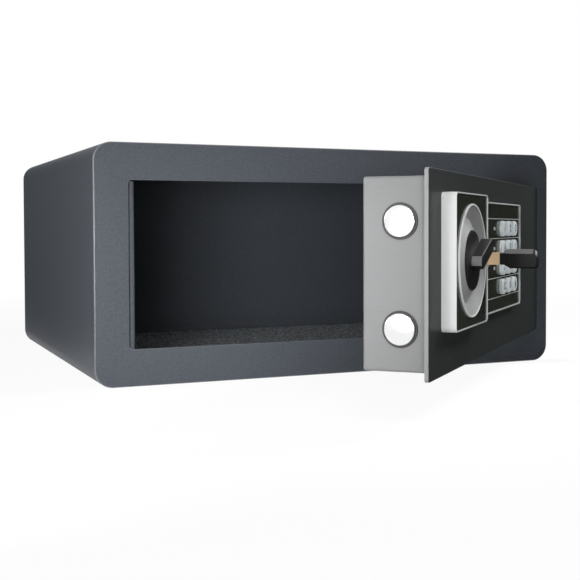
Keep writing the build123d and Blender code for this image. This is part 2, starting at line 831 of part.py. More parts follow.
# Solenoid: a coil in a folded steel frame, bored for the plunger
with BuildPart() as solenoid:
    with BuildSketch(door_plan(blocker_s, blocker_out, solenoid_bottom)):
        Rectangle(solenoid_width, solenoid_depth)
    extrude(amount=solenoid_height)
    uprights = solenoid.edges().filter_by(Axis.Z)
    fillet(uprights, solenoid_corner)
    with BuildSketch(door_plan(blocker_s, blocker_out, solenoid_bottom + solenoid_wrap)):
        Rectangle(solenoid_width + 2 * solenoid_waist, solenoid_depth + 2 * solenoid_waist)
        Rectangle(
            solenoid_width - 2 * solenoid_waist, solenoid_depth - 2 * solenoid_waist,
            mode=Mode.SUBTRACT,
        )
        with Locations((0, -solenoid_depth / 2)):
            Rectangle(
                solenoid_width + 2 * solenoid_waist, 4 * solenoid_waist, mode=Mode.SUBTRACT,
            )
    extrude(amount=solenoid_height - 2 * solenoid_wrap, mode=Mode.SUBTRACT)
    with BuildSketch(door_plan(blocker_s, blocker_out, solenoid_bottom)):
        Circle(plunger_diameter / 2 + plunger_clearance)
    extrude(amount=solenoid_height, mode=Mode.SUBTRACT)
solenoid.part.label = "solenoid"
export_step(solenoid.part, "parts/solenoid.step")

# Solenoid plunger, with a stub on top that the release link hooks over
with BuildPart() as solenoid_plunger:
    with BuildSketch(door_plan(blocker_s, blocker_out, plunger_bottom)):
        Circle(plunger_diameter / 2)
    extrude(amount=link_tab_z - plunger_bottom)
    with BuildSketch(door_plan(blocker_s, blocker_out, link_tab_z)):
        Circle(plunger_stub_diameter / 2)
    extrude(amount=link_sheet)
solenoid_plunger.part.label = "solenoid_plunger"
export_step(solenoid_plunger.part, "parts/solenoid_plunger.step")

# Release link: a tab on the plunger, an arm across and a slotted leg down to the cam
link_tip_z = lock_z + release_cam_radius + release_cam_gap
link_s0 = blocker_s - link_tab / 2
link_s1 = lock_s + link_leg_width / 2
with BuildPart() as release_link:
    with BuildSketch(door_plan(blocker_s, blocker_out, link_tab_z)):
        Rectangle(link_tab, link_tab)
        Circle(plunger_stub_diameter / 2 + plunger_clearance, mode=Mode.SUBTRACT)
    extrude(amount=link_sheet)
    with BuildSketch(on_door(-release_cam_front)):
        with Locations((link_s0 + link_tab, link_tab_z)):
            Rectangle(link_s1 - link_s0 - link_tab, link_arm_height, align=(Align.MIN, Align.MIN))
        with Locations((lock_s, link_tip_z + link_leg_width)):
            Rectangle(
                link_leg_width, link_tab_z - link_tip_z - link_leg_width,
                align=(Align.CENTER, Align.MIN),
            )
        with Locations((lock_s, link_tip_z + link_tip_width / 2)):
            Rectangle(
                link_tip_width, link_leg_width, align=(Align.CENTER, Align.MIN),
            )
            Circle(link_tip_width / 2)
        with Locations((lock_s, link_guide_z + blocker_throw / 2)):
            SlotOverall(
                blocker_throw + link_guide_diameter + 2 * guide_end_gap,
                link_guide_diameter + 2 * guide_clearance, rotation=90, mode=Mode.SUBTRACT,
            )
    extrude(amount=-link_sheet)
release_link.part.label = "release_link"
export_step(release_link.part, "parts/release_link.step")

# Lock cylinder and emergency key

# Lock cylinder: a threaded barrel through the plate with a thinner neck in the panel
lock_front = panel_face + lock_proud
panel_web_back = panel_web_front - panel_web
with BuildPart() as lock_cylinder:
    with BuildSketch(on_door(-lock_back)):
        with Locations((lock_s, lock_z)):
            Circle(lock_barrel_diameter / 2)
    extrude(amount=lock_back + panel_web_back - face_gap)
    with BuildSketch(on_door(panel_web_back - face_gap)):
        with Locations((lock_s, lock_z)):
            Circle(lock_neck_diameter / 2)
    extrude(amount=lock_front - panel_web_back + face_gap)
    chamfer(lock_cylinder.edges().group_by(Axis((0, 0, 0), outward))[-1], lock_chamfer)
    with BuildSketch(on_door(-lock_back)):
        with Locations((lock_s, lock_z)):
            Circle(lock_plug_diameter / 2 + lock_clearance)
    extrude(amount=lock_back + lock_front, mode=Mode.SUBTRACT)
lock_cylinder.part.label = "lock_cylinder"
export_step(lock_cylinder.part, "parts/lock_cylinder.step")

# Lock nut behind the door plate
with BuildPart() as lock_nut:
    with BuildSketch(on_door(door_back)):
        with Locations((lock_s, lock_z)):
            RegularPolygon(lock_nut_across / 2, 6, major_radius=False)
            Circle(lock_barrel_diameter / 2 + weld_gap, mode=Mode.SUBTRACT)
    extrude(amount=-lock_nut_height)
lock_nut.part.label = "lock_nut"
export_step(lock_nut.part, "parts/lock_nut.step")

# Lock plug: turns in the barrel, with the keyway in front and a square tail for the cam
with BuildPart() as lock_plug:
    with BuildSketch(on_door(-release_cam_front)):
        with Locations((lock_s, lock_z)):
            Circle(lock_plug_diameter / 2)
    extrude(amount=release_cam_front + lock_front)
    with BuildSketch(on_door(lock_front)):
        with Locations((lock_s, lock_z)):
            Rectangle(
                key_blade_thickness + 2 * keyway_clearance, key_blade_height + 2 * keyway_clearance,
            )
    extrude(amount=-(lock_front + key_blade_inside + face_gap), mode=Mode.SUBTRACT)
    with BuildSketch(on_door(-release_cam_front)):
        with Locations((lock_s, lock_z)):
            Rectangle(release_tail_square, release_tail_square)
    extrude(amount=-(release_cam_thickness + release_tail_beyond))
lock_plug.part.label = "lock_plug"
export_step(lock_plug.part, "parts/lock_plug.step")

# Release cam: a spiral edge that falls evenly, so that the link drops in step with the key
spiral_steps = 12
spiral = []
for i in range(spiral_steps + 1):
    turn = radians(lock_turn * i / spiral_steps)
    radius = release_cam_radius - blocker_throw * i / spiral_steps
    spiral.append((radius * sin(turn), radius * cos(turn)))
nose_half = radians(release_nose_angle)
hub_angle = radians(release_hub_angle)
nose_top = (-release_cam_radius * sin(nose_half), release_cam_radius * cos(nose_half))
nose = (-release_cam_radius * sin(2 * nose_half), release_cam_radius * cos(2 * nose_half))
hub_side = (-release_cam_hub * cos(hub_angle), release_cam_hub * sin(hub_angle))
hub_below = (0, -release_cam_hub + release_hub_overlap)
with BuildPart() as release_cam:
    with BuildSketch(door_spot(lock_s, lock_z, -release_cam_front)):
        Circle(release_cam_hub)
        with BuildLine():
            Spline(*spiral)
            ThreePointArc(spiral[0], nose_top, nose)
            Polyline(nose, hub_side, hub_below, spiral[-1])
        make_face()
        Rectangle(
            release_tail_square + 2 * spindle_clearance,
            release_tail_square + 2 * spindle_clearance, mode=Mode.SUBTRACT,
        )
    extrude(amount=-release_cam_thickness)
release_cam.part.label = "release_cam"
export_step(release_cam.part, "parts/release_cam.step")

# Emergency key blade: flat brass, with a narrower tang moulded into the head
with BuildPart() as emergency_key_blade:
    with BuildSketch(on_door(-key_blade_inside)):
        with Locations((lock_s, lock_z)):
            Rectangle(key_blade_thickness, key_blade_height)
    extrude(amount=key_blade_inside + key_blade_end)
    with BuildSketch(on_door(key_blade_end)):
        with Locations((lock_s, lock_z)):
            Rectangle(key_blade_thickness, key_blade_height / 2)
    extrude(amount=key_collar_end - key_blade_end + key_tang_length)
emergency_key_blade.part.label = "emergency_key_blade"
export_step(emergency_key_blade.part, "parts/emergency_key_blade.step")

# Emergency key head: a collar, then a grip that widens from it and ends in rounded edges
with BuildPart() as emergency_key_head:
    with BuildSketch(on_door(key_blade_end)):
        with Locations((lock_s, lock_z)):
            RectangleRounded(key_collar_thickness, key_collar_height, key_collar_corner)
    extrude(amount=key_collar_end - key_blade_end)
    with BuildSketch(on_door(key_collar_end)):
        with Locations((lock_s, lock_z)):
            RectangleRounded(key_head_thickness, key_collar_height, key_head_corner)
    with BuildSketch(on_door(key_collar_end + key_head_taper)):
        with Locations((lock_s, lock_z)):
            RectangleRounded(key_head_thickness, key_head_height, key_head_corner)
    loft()
    with BuildSketch(on_door(key_collar_end + key_head_taper)):
        with Locations((lock_s, lock_z)):
            RectangleRounded(key_head_thickness, key_head_height, key_head_corner)
    extrude(amount=key_head_end - key_collar_end - key_head_taper)
    head_end = emergency_key_head.edges().group_by(Axis((0, 0, 0), outward))[-1]
    fillet(head_end, key_head_round)
    with BuildSketch(on_door(key_blade_end)):
        with Locations((lock_s, lock_z)):
            Rectangle(
                key_blade_thickness + 2 * weld_gap, key_blade_height / 2 + 2 * weld_gap,
            )
    extrude(amount=key_collar_end - key_blade_end + key_tang_length, mode=Mode.SUBTRACT)
emergency_key_head.part.label = "emergency_key_head"
export_step(emergency_key_head.part, "parts/emergency_key_head.step")

# Fascia on the door

# Lock block: a square moulding, hollow behind, with a rim round its face and a seat for the dish
block_web_front = block_depth - block_face_recess - block_face_thickness
block_web_back = block_web_front - block_web
with BuildPart() as lock_block:
    with BuildSketch(on_door(0)):
        with Locations((block_mid_s, block_mid_z)):
            RectangleRounded(block_width, block_height, block_corner)
    extrude(amount=block_depth)
    fillet(
        lock_block.faces().sort_by(Axis((0, 0, 0), outward))[-1].outer_wire().edges(),
        moulding_edge_round,
    )
    with BuildSketch(on_door(block_depth)):
        with Locations((block_mid_s, block_mid_z)):
            RectangleRounded(
                block_width - 2 * block_lip, block_height - 2 * block_lip, block_corner - block_lip,
            )
    extrude(amount=-(block_depth - block_web_front), mode=Mode.SUBTRACT)
    with BuildSketch(on_door(0)):
        with Locations((block_mid_s, block_mid_z)):
            Rectangle(block_width - 2 * block_wall, block_height - 2 * block_wall)
            with GridLocations(*block_bosses[2:], 2, 2):
                Circle(boss_diameter / 2, mode=Mode.SUBTRACT)
    extrude(amount=block_web_back, mode=Mode.SUBTRACT)
    with BuildSketch(on_door(block_web_front)):
        with Locations((knob_s, knob_z)):
            Circle(dish_radius + face_gap)
    extrude(amount=-block_web_front, mode=Mode.SUBTRACT)
    with BuildSketch(on_door(0)):
        with Locations((block_mid_s, block_mid_z)):
            with GridLocations(*block_bosses[2:], 2, 2):
                Circle(fascia_screw_diameter / 2 + screw_clearance)
    extrude(amount=fascia_screw_engaged, mode=Mode.SUBTRACT)
lock_block.part.label = "lock_block"
export_step(lock_block.part, "parts/lock_block.step")

# Face plate of the lock block: glossy black, round the dish
face_inset = block_lip + face_gap
with BuildPart() as lock_block_face:
    with BuildSketch(on_door(block_web_front)):
        with Locations((block_mid_s, block_mid_z)):
            RectangleRounded(
                block_width - 2 * face_inset, block_height - 2 * face_inset,
                block_corner - face_inset,
            )
        with Locations((knob_s, knob_z)):
            Circle(dish_radius + face_gap, mode=Mode.SUBTRACT)
    extrude(amount=block_face_thickness)
lock_block_face.part.label = "lock_block_face"
export_step(lock_block_face.part, "parts/lock_block_face.step")

# Knob dish: a spun trough between a thin outer lip and the seat of the knob disc
dish_plane = Plane(origin=corner + along * knob_s + up * knob_z, x_dir=along, z_dir=-up)
with BuildPart() as knob_dish:
    with BuildSketch(dish_plane):
        with BuildLine():
            Polyline(
                (dish_radius, 0), (dish_radius, dish_lip), (dish_lip_inner, dish_lip),
                (dish_valley_radius, dish_valley), (dish_ridge_radius, dish_ridge),
                (dish_ridge_radius, dish_floor), (dish_bore_radius, dish_floor),
                (dish_bore_radius, dish_floor - dish_wall),
                (dish_ridge_radius - dish_wall, dish_floor - dish_wall),
                (dish_valley_radius, dish_valley - dish_wall),
                (dish_lip_inner - dish_wall / 2, dish_lip - 2 * dish_wall),
                (dish_lip_inner - dish_wall / 2, 0), (dish_radius, 0),
            )
        make_face()
    revolve(axis=Axis(dish_plane.origin, outward))
knob_dish.part.label = "knob_dish"
export_step(knob_dish.part, "parts/knob_dish.step")

# Keypad housing: a shallow moulding with a rim, holes for the keys and a neck hole for the lock
with BuildPart() as keypad_housing:
    with BuildSketch(on_door(0)):
        with Locations((panel_mid_s, panel_mid_z)):
            RectangleRounded(panel_width, panel_height, panel_corner)
    extrude(amount=panel_depth)
    fillet(
        keypad_housing.faces().sort_by(Axis((0, 0, 0), outward))[-1].outer_wire().edges(),
        moulding_edge_round,
    )
    with BuildSketch(on_door(panel_depth)):
        with Locations((panel_mid_s, panel_mid_z)):
            RectangleRounded(
                panel_width - 2 * panel_lip, panel_height - 2 * panel_lip, panel_corner - panel_lip,
            )
    extrude(amount=panel_web_front - panel_depth, mode=Mode.SUBTRACT)
    with BuildSketch(on_door(0)):
        with Locations((panel_mid_s, panel_mid_z)):
            Rectangle(panel_width - 2 * panel_wall, panel_height - 2 * panel_wall)
            with GridLocations(*panel_bosses[2:], 2, 2):
                Circle(boss_diameter / 2, mode=Mode.SUBTRACT)
    extrude(amount=panel_web_back, mode=Mode.SUBTRACT)
    with BuildSketch(on_door(panel_web_front)):
        with Locations(buttons_mid):
            with GridLocations(button_pitch_s, button_pitch_z, 3, 4):
                SlotOverall(button_length + 2 * button_gap, button_height + 2 * button_gap)
        with Locations((lock_s, lock_z)):
            Circle(lock_neck_diameter / 2 + face_gap)
    extrude(amount=-panel_web, mode=Mode.SUBTRACT)
    with BuildSketch(on_door(0)):
        with Locations((panel_mid_s, panel_mid_z)):
            with GridLocations(*panel_bosses[2:], 2, 2):
                Circle(fascia_screw_diameter / 2 + screw_clearance)
    extrude(amount=fascia_screw_engaged, mode=Mode.SUBTRACT)
keypad_housing.part.label = "keypad_housing"
export_step(keypad_housing.part, "parts/keypad_housing.step")

# Keypad face: thin glossy sheet in the recess of the housing
panel_inset = panel_lip + face_gap
with BuildPart() as keypad_face:
    with BuildSketch(on_door(panel_web_front)):
        with Locations((panel_mid_s, panel_mid_z)):
            RectangleRounded(
                panel_width - 2 * panel_inset, panel_height - 2 * panel_inset,
                panel_corner - panel_inset,
            )
        with Locations(buttons_mid):
            with GridLocations(button_pitch_s, button_pitch_z, 3, 4):
                SlotOverall(
                    button_length + 2 * button_gap, button_height + 2 * button_gap,
                    mode=Mode.SUBTRACT,
                )
        with Locations((lock_s, lock_z)):
            Circle(lock_neck_diameter / 2 + face_gap, mode=Mode.SUBTRACT)
    extrude(amount=panel_face_thickness)
keypad_face.part.label = "keypad_face"
export_step(keypad_face.part, "parts/keypad_face.step")

# Keys: oval caps with a flange that the housing holds back
key_names = [
    "key_1", "key_2", "key_3", "key_4", "key_5", "key_6",
    "key_7", "key_8", "key_9", "key_clear", "key_0", "key_lock",
]
key_places = [(s, z) for z in button_z for s in button_s]
flange_top = panel_web_back - face_gap
for name, place in zip(key_names, key_places):
    with BuildPart() as key:
        with BuildSketch(on_door(flange_top)):
            with Locations(place):
                SlotOverall(button_length, button_height)
        extrude(amount=panel_face + button_proud - flange_top)
        chamfer(key.edges().group_by(Axis((0, 0, 0), outward))[-1], button_bevel)
        with BuildSketch(on_door(flange_top)):
            with Locations(place):
                SlotOverall(button_length + 2 * button_flange, button_height + 2 * button_flange)
        extrude(amount=-button_flange_thickness)
    key.part.label = name
    export_step(key.part, f"parts/{name}.step")

# Keypad board and the rubber mat on it, under the keys
board_area = (
    2 * button_pitch_s + button_length + 2 * keypad_board_margin,
    3 * button_pitch_z + button_height + keypad_board_margin,
)
with BuildPart() as keypad_board:
    with BuildSketch(on_door(0)):
        with Locations(buttons_mid):
            Rectangle(*board_area)
    extrude(amount=keypad_board_thickness)
keypad_board.part.label = "keypad_board"
export_step(keypad_board.part, "parts/keypad_board.step")

with BuildPart() as keypad_mat:
    with BuildSketch(on_door(keypad_board_thickness)):
        with Locations(buttons_mid):
            Rectangle(board_area[0] - keypad_board_margin, board_area[1] - keypad_board_margin / 2)
    extrude(amount=mat_rubber)
keypad_mat.part.label = "keypad_mat"
export_step(keypad_mat.part, "parts/keypad_mat.step")

# Fascia screws: from behind the door plate into the bosses of both mouldings
with BuildPart() as fascia_screws:
    with BuildSketch(on_door(door_back)):
        for mid_s, mid_z, pitch_s, pitch_z in (block_bosses, panel_bosses):
            with Locations((mid_s, mid_z)):
                with GridLocations(pitch_s, pitch_z, 2, 2):
                    Circle(fascia_screw_head / 2)
    extrude(amount=-fascia_screw_head_height)
    with BuildSketch(on_door(door_back)):
        for mid_s, mid_z, pitch_s, pitch_z in (block_bosses, panel_bosses):
            with Locations((mid_s, mid_z)):
                with GridLocations(pitch_s, pitch_z, 2, 2):
                    Circle(fascia_screw_diameter / 2)
    extrude(amount=door_thickness + fascia_screw_engaged)
fascia_screws.part.label = "fascia_screws"
export_step(fascia_screws.part, "parts/fascia_screws.step")

# Electronics

# Control board with its chip, buzzer, battery socket and the header through the door plate
board_front = door_back - board_standoff
board_mid = (board_s + board_width / 2, board_bottom + board_height / 2)
with BuildPart() as control_board:
    with BuildSketch(on_door(board_front)):
        with Locations(board_mid):
            RectangleRounded(board_width, board_height, board_corner)
    extrude(amount=-board_thickness)
    with BuildSketch(on_door(board_front)):
        with Locations((connector_s, connector_z)):
            Rectangle(connector_length, connector_width)
    extrude(amount=-board_front)
    with BuildSketch(on_door(board_front - board_thickness)):
        with Locations(board_mid):
            with Locations(chip_offset):
                Rectangle(chip_width, chip_width)
            with Locations(socket_offset):
                Rectangle(socket_width, socket_length)
    extrude(amount=-chip_height)
    with BuildSketch(on_door(board_front - board_thickness)):
        with Locations(board_mid):
            with Locations(buzzer_offset):
                Circle(buzzer_diameter / 2)
    extrude(amount=-buzzer_height)
control_board.part.label = "control_board"
export_step(control_board.part, "parts/control_board.step")

# Standoffs under the control board
with BuildPart() as board_standoffs:
    with BuildSketch(on_door(door_back)):
        with Locations(board_mid):
            with GridLocations(
                board_width - 2 * board_corner_inset, board_height - 2 * board_corner_inset, 2, 2
            ):
                Circle(board_standoff_diameter / 2)
    extrude(amount=-board_standoff)
board_standoffs.part.label = "board_standoffs"
export_step(board_standoffs.part, "parts/board_standoffs.step")

# Battery holder: a tray open toward the rear, seated on the inside of the cover
cover_inside = cover_back + cover_sheet
holder_depth = cell_diameter + cell_gap + holder_wall
with BuildPart() as battery_holder:
    with BuildSketch(on_door(cover_inside)):
        with Locations((holder_s, holder_z)):
            Rectangle(holder_width, holder_height)
    extrude(amount=holder_depth)
    with BuildSketch(on_door(cover_inside)):
        with Locations((holder_s, holder_z)):
            Rectangle(holder_width - 2 * holder_wall, holder_height - 2 * holder_wall)
    extrude(amount=holder_depth - holder_wall, mode=Mode.SUBTRACT)
battery_holder.part.label = "battery_holder"
export_step(battery_holder.part, "parts/battery_holder.step")

# Cells: laid side by side, each turned end for end from its neighbour
cell_out = cover_inside + holder_depth - holder_wall - cell_diameter / 2
cell_bottom = holder_z - (cell_length + cell_nub) / 2
with BuildPart() as batteries:
    for i in range(cell_count):
        s = holder_s + (i - (cell_count - 1) / 2) * cell_pitch
        nub_below = i % 2
        with BuildSketch(door_plan(s, cell_out, cell_bottom + nub_below * cell_nub)):
            Circle(cell_diameter / 2)
        extrude(amount=cell_length)
        nub_from = cell_bottom if nub_below else cell_bottom + cell_length
        with BuildSketch(door_plan(s, cell_out, nub_from)):
            Circle(cell_nub_diameter / 2)
        extrude(amount=cell_nub)
batteries.part.label = "batteries"
export_step(batteries.part, "parts/batteries.step")

# Battery cover: a lid on the rear face with a finger groove across it
with BuildPart() as battery_cover:
    with BuildSketch(on_door(cover_back)):
        with Locations((holder_s, holder_z)):
            RectangleRounded(
                holder_width + 2 * battery_cover_overlap, holder_height + 2 * battery_cover_overlap,
                battery_cover_corner,
            )
    extrude(amount=-battery_cover_thickness)
    fillet(
        battery_cover.faces().sort_by(Axis((0, 0, 0), outward))[0].outer_wire().edges(),
        battery_cover_round,
    )
    with BuildSketch(on_door(cover_back - battery_cover_thickness)):
        with Locations((holder_s, holder_z + holder_height / 2 - groove_inset)):
            SlotOverall(groove_length, groove_width)
    extrude(amount=battery_cover_thickness / 2, mode=Mode.SUBTRACT)
battery_cover.part.label = "battery_cover"
export_step(battery_cover.part, "parts/battery_cover.step")

# Reset switch body on the inside of the cover, and its button through the sheet
flange_room = reset_flange + reset_travel + reset_clearance
with BuildPart() as reset_switch:
    with BuildSketch(on_door(cover_inside)):
        with Locations((reset_s, reset_z)):
            RectangleRounded(reset_body, reset_body, reset_body_corner)
    extrude(amount=reset_body_depth)
    with BuildSketch(on_door(cover_inside)):
        with Locations((reset_s, reset_z)):
            Circle(reset_flange_diameter / 2 + reset_clearance)
    extrude(amount=flange_room, mode=Mode.SUBTRACT)
reset_switch.part.label = "reset_switch"
export_step(reset_switch.part, "parts/reset_switch.step")

with BuildPart() as reset_button:
    with BuildSketch(on_door(cover_inside + reset_clearance / 2)):
        with Locations((reset_s, reset_z)):
            Circle(reset_flange_diameter / 2)
    extrude(amount=reset_flange)
    with BuildSketch(on_door(cover_inside + reset_clearance / 2)):
        with Locations((reset_s, reset_z)):
            Circle(reset_diameter / 2)
    extrude(amount=-(reset_clearance / 2 + cover_sheet + reset_proud))
    fillet(reset_button.edges().group_by(Axis((0, 0, 0), outward))[0], reset_round)
reset_button.part.label = "reset_button"
export_step(reset_button.part, "parts/reset_button.step")
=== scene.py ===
from math import atan2, cos, pi, radians, sin

import bmesh
import bpy
from mathutils import Matrix, Vector


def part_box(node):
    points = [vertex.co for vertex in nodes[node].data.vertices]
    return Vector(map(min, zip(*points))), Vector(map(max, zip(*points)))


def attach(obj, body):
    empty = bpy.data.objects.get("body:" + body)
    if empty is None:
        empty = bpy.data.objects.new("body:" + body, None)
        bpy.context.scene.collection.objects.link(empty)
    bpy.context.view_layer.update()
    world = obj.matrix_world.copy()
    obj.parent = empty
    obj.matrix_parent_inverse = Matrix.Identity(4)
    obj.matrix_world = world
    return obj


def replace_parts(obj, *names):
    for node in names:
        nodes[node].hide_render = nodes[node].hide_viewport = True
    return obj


# An electronic safe with its door standing open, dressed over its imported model, in metres.
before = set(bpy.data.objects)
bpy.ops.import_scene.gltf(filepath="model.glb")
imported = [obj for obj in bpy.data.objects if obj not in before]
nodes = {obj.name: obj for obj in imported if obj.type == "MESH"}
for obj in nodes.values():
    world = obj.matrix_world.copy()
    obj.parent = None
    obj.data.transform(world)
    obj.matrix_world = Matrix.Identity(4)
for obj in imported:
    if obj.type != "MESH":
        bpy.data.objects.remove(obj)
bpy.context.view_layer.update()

# Camera
# It stands low, to the left of the open door, where the photograph was taken.
camera_place = (-0.38529, -1.01131, 0.12758)
camera_turn = radians(-24.548)
camera_tilt = radians(90 - 1.773)
camera_roll = radians(-0.117)
camera_lens = 65.2
camera_shift = (-0.0762, -0.0532)

camera = bpy.data.objects.new("camera", bpy.data.cameras.new("camera"))
bpy.context.scene.collection.objects.link(camera)
turn = Matrix.Rotation(camera_turn, 4, "Z") @ Matrix.Rotation(camera_tilt, 4, "X")
camera.matrix_world = (
    Matrix.Translation(camera_place) @ turn @ Matrix.Rotation(camera_roll, 4, "Z")
)
camera.data.sensor_width = 36
camera.data.lens = camera_lens
camera.data.shift_x, camera.data.shift_y = camera_shift
camera.data.clip_start = 0.01
camera.data.clip_end = 50
bpy.context.scene.camera = camera
bpy.context.scene.view_settings.view_transform = "Standard"

# Studio
# A pale floor, a white surround and five disc lamps, aimed at the doorway, lock block and keys.
# Dark cards, which only reflections see, stand beside it, and a flag shades the front's right.
floor_half = 6.0
floor_white = (0.9, 0.9, 0.9, 1)
floor_shadow_share = 0.12
floor_near = 0.45
floor_far = 1.3
floor_near_light = 1.06
floor_roughness = 0.9
surround_light = 0.035
lamps = [
    ("key_lamp", (-0.40, -0.62, 0.11), (0.08, 0.16, 0.11), 0.16, 0.42, 78),
    ("fill_lamp", (-0.50, -1.20, 0.12), (-0.16, -0.30, 0.10), 0.25, 0.12, 40),
    ("block_lamp", (-0.16, -0.72, 0.35), (-0.05, -0.42, 0.08), 0.16, 0.10, 60),
    ("keys_lamp", (0.80, -0.30, 0.70), (0.1, -0.32, 0.1), 0.25, 5.6, 180),
    ("side_lamp", (-1.30, 0.10, 0.50), (-0.2, 0.0, 0.1), 0.6, 3.6, 180),
]
cards = {
    "right_card": [(1.3, -0.25, 0), (1.3, 1.2, 0), (1.3, 1.2, 0.8), (1.3, -0.25, 0.8)],
    "right_floor_card": [(0.22, -0.19, 0.001), (1.3, -0.19, 0.001), (1.3, 1.2, 0.001),
                         (0.22, 1.2, 0.001)],
    "front_floor_card": [(0.0, -0.9, 0.001), (1.3, -0.9, 0.001), (1.3, -0.19, 0.001),
                         (0.0, -0.19, 0.001)],
    "left_card": [(-1.3, 1.5, 0), (-0.15, 1.5, 0), (-0.15, 1.5, 0.8), (-1.3, 1.5, 0.8)],
    "left_floor_card": [(-1.3, 0, 0.001), (-0.24, 0, 0.001), (-0.24, 1.5, 0.001),
                        (-1.3, 1.5, 0.001)],
}
card_grey = (0.02, 0.02, 0.02, 1)
flag_corners = [(0.232, -0.186, 0), (0.232, -0.206, 0), (0.232, -0.206, 0.3), (0.232, -0.186, 0.3)]


class Wire:
    """A socket in a material's node tree. Arithmetic on it adds Math nodes."""

    def __init__(self, tree, socket=None):
        self.tree = tree
        self.socket = socket

    def node(self, kind, settings=None, sockets=None, output=0):
        """Any node: its type, its settings and ramp stops, then values or links for its sockets."""
        made = self.tree.nodes.new(kind)
        settings = dict(settings or {})
        stops = settings.pop("stops", None)
        for name, value in settings.items():
            setattr(made, name, value)
        if stops:
            ramp = made.color_ramp
            while len(ramp.elements) < len(stops):
                ramp.elements.new(1.0)
            for element, (position, colour) in zip(ramp.elements, stops):
                element.position = position
                element.color = colour
        for name, value in (sockets or {}).items():
            if isinstance(value, Wire):
                self.tree.links.new(value.socket, made.inputs[name])
            else:
                made.inputs[name].default_value = value
        return Wire(self.tree, made.outputs[output])

    def maths(self, operation, *values):
        return self.node("ShaderNodeMath", {"operation": operation}, dict(enumerate(values)))

    def __add__(self, other):
        return self.maths("ADD", self, other)

    def __radd__(self, other):
        return self.maths("ADD", other, self)

    def __sub__(self, other):
        return self.maths("SUBTRACT", self, other)

    def __rsub__(self, other):
        return self.maths("SUBTRACT", other, self)

    def __mul__(self, other):
        return self.maths("MULTIPLY", self, other)

    def __rmul__(self, other):
        return self.maths("MULTIPLY", other, self)


def add_lamp(name, place, target, size, power, spread):
    data = bpy.data.lights.new(name, "AREA")
    data.shape = "DISK"
    data.size = size
    data.energy = power
    data.spread = radians(spread)
    lamp = bpy.data.objects.new(name, data)
    bpy.context.scene.collection.objects.link(lamp)
    lamp.location = place
    aim = Vector(target) - Vector(place)
    lamp.rotation_euler = aim.to_track_quat("-Z", "Y").to_euler()


for lamp_values in lamps:
    add_lamp(*lamp_values)


def seen_white(wire):
    """1 for a ray from the camera, or one that is mirrored or let through, else 0."""
    straight = wire.node("ShaderNodeLightPath", output="Is Camera Ray")
    mirrored = wire.node("ShaderNodeLightPath", output="Is Glossy Ray")
    through = wire.node("ShaderNodeLightPath", output="Is Transmission Ray")
    return straight.maths("MINIMUM", straight + mirrored + through, 1.0)


world = bpy.data.worlds.new("surround")
bpy.context.scene.world = world
world.use_nodes = True
sky = Wire(world.node_tree)
sky_dim = sky.node("ShaderNodeBackground", None, {"Color": (surround_light,) * 3 + (1,)})
sky_white = sky.node("ShaderNodeBackground", None, {"Color": (1, 1, 1, 1)})
sky_mix = sky.node("ShaderNodeMixShader", None, {0: seen_white(sky), 1: sky_dim, 2: sky_white})
world.node_tree.links.new(
    sky_mix.socket, world.node_tree.nodes["World Output"].inputs["Surface"]
)

floor_mesh = bpy.data.meshes.new("floor")
floor_mesh.from_pydata(
    [(x * floor_half, y * floor_half, 0) for x, y in ((-1, -1), (1, -1), (1, 1), (-1, 1))],
    [], [(0, 1, 2, 3)],
)
floor = bpy.data.objects.new("floor", floor_mesh)
bpy.context.scene.collection.objects.link(floor)
floor_paint = bpy.data.materials.new("floor_paint")
floor_paint.use_nodes = True
floor_tree = floor_paint.node_tree
floor_tree.nodes["Principled BSDF"].inputs["Base Color"].default_value = floor_white
floor_tree.nodes["Principled BSDF"].inputs["Roughness"].default_value = floor_roughness
floor_tree.nodes["Principled BSDF"].inputs["Specular IOR Level"].default_value = 0.0
ground = Wire(floor_tree)
ground_place = ground.node("ShaderNodeTexCoord", output="Object")
ground_reach = ground.node(
    "ShaderNodeVectorMath", {"operation": "LENGTH"}, {0: ground_place}, output=1
)
ground_light = ground.node(
    "ShaderNodeMapRange", {"interpolation_type": "SMOOTHSTEP"},
    {"Value": ground_reach, "From Min": floor_near, "From Max": floor_far,
     "To Min": floor_near_light, "To Max": 1.0 / (1.0 - floor_shadow_share)},
)
glow = ground.node("ShaderNodeEmission", None, {"Color": ground_light, "Strength": 1.0})
solid = Wire(floor_tree, floor_tree.nodes["Principled BSDF"].outputs[0])
ground_mix = ground.node(
    "ShaderNodeMixShader", None,
    {0: seen_white(ground) * (1.0 - floor_shadow_share), 1: solid, 2: glow},
)
floor_tree.links.new(
    ground_mix.socket, floor_tree.nodes["Material Output"].inputs["Surface"]
)
floor_mesh.materials.append(floor_paint)

card_paint = bpy.data.materials.new("card_paint")
card_paint.use_nodes = True
card_shader = card_paint.node_tree.nodes["Principled BSDF"]
card_shader.inputs["Base Color"].default_value = card_grey
card_shader.inputs["Roughness"].default_value = 1.0
card_shader.inputs["Specular IOR Level"].default_value = 0.0
for card_name, card_corners in [*cards.items(), ("flag", flag_corners)]:
    card_mesh = bpy.data.meshes.new(card_name)
    card_mesh.from_pydata(card_corners, [], [(0, 1, 2, 3)])
    card_mesh.materials.append(card_paint)
    card = bpy.data.objects.new(card_name, card_mesh)
    bpy.context.scene.collection.objects.link(card)
    card.visible_camera = False
    card.visible_diffuse = False
    card.visible_shadow = card_name == "flag"

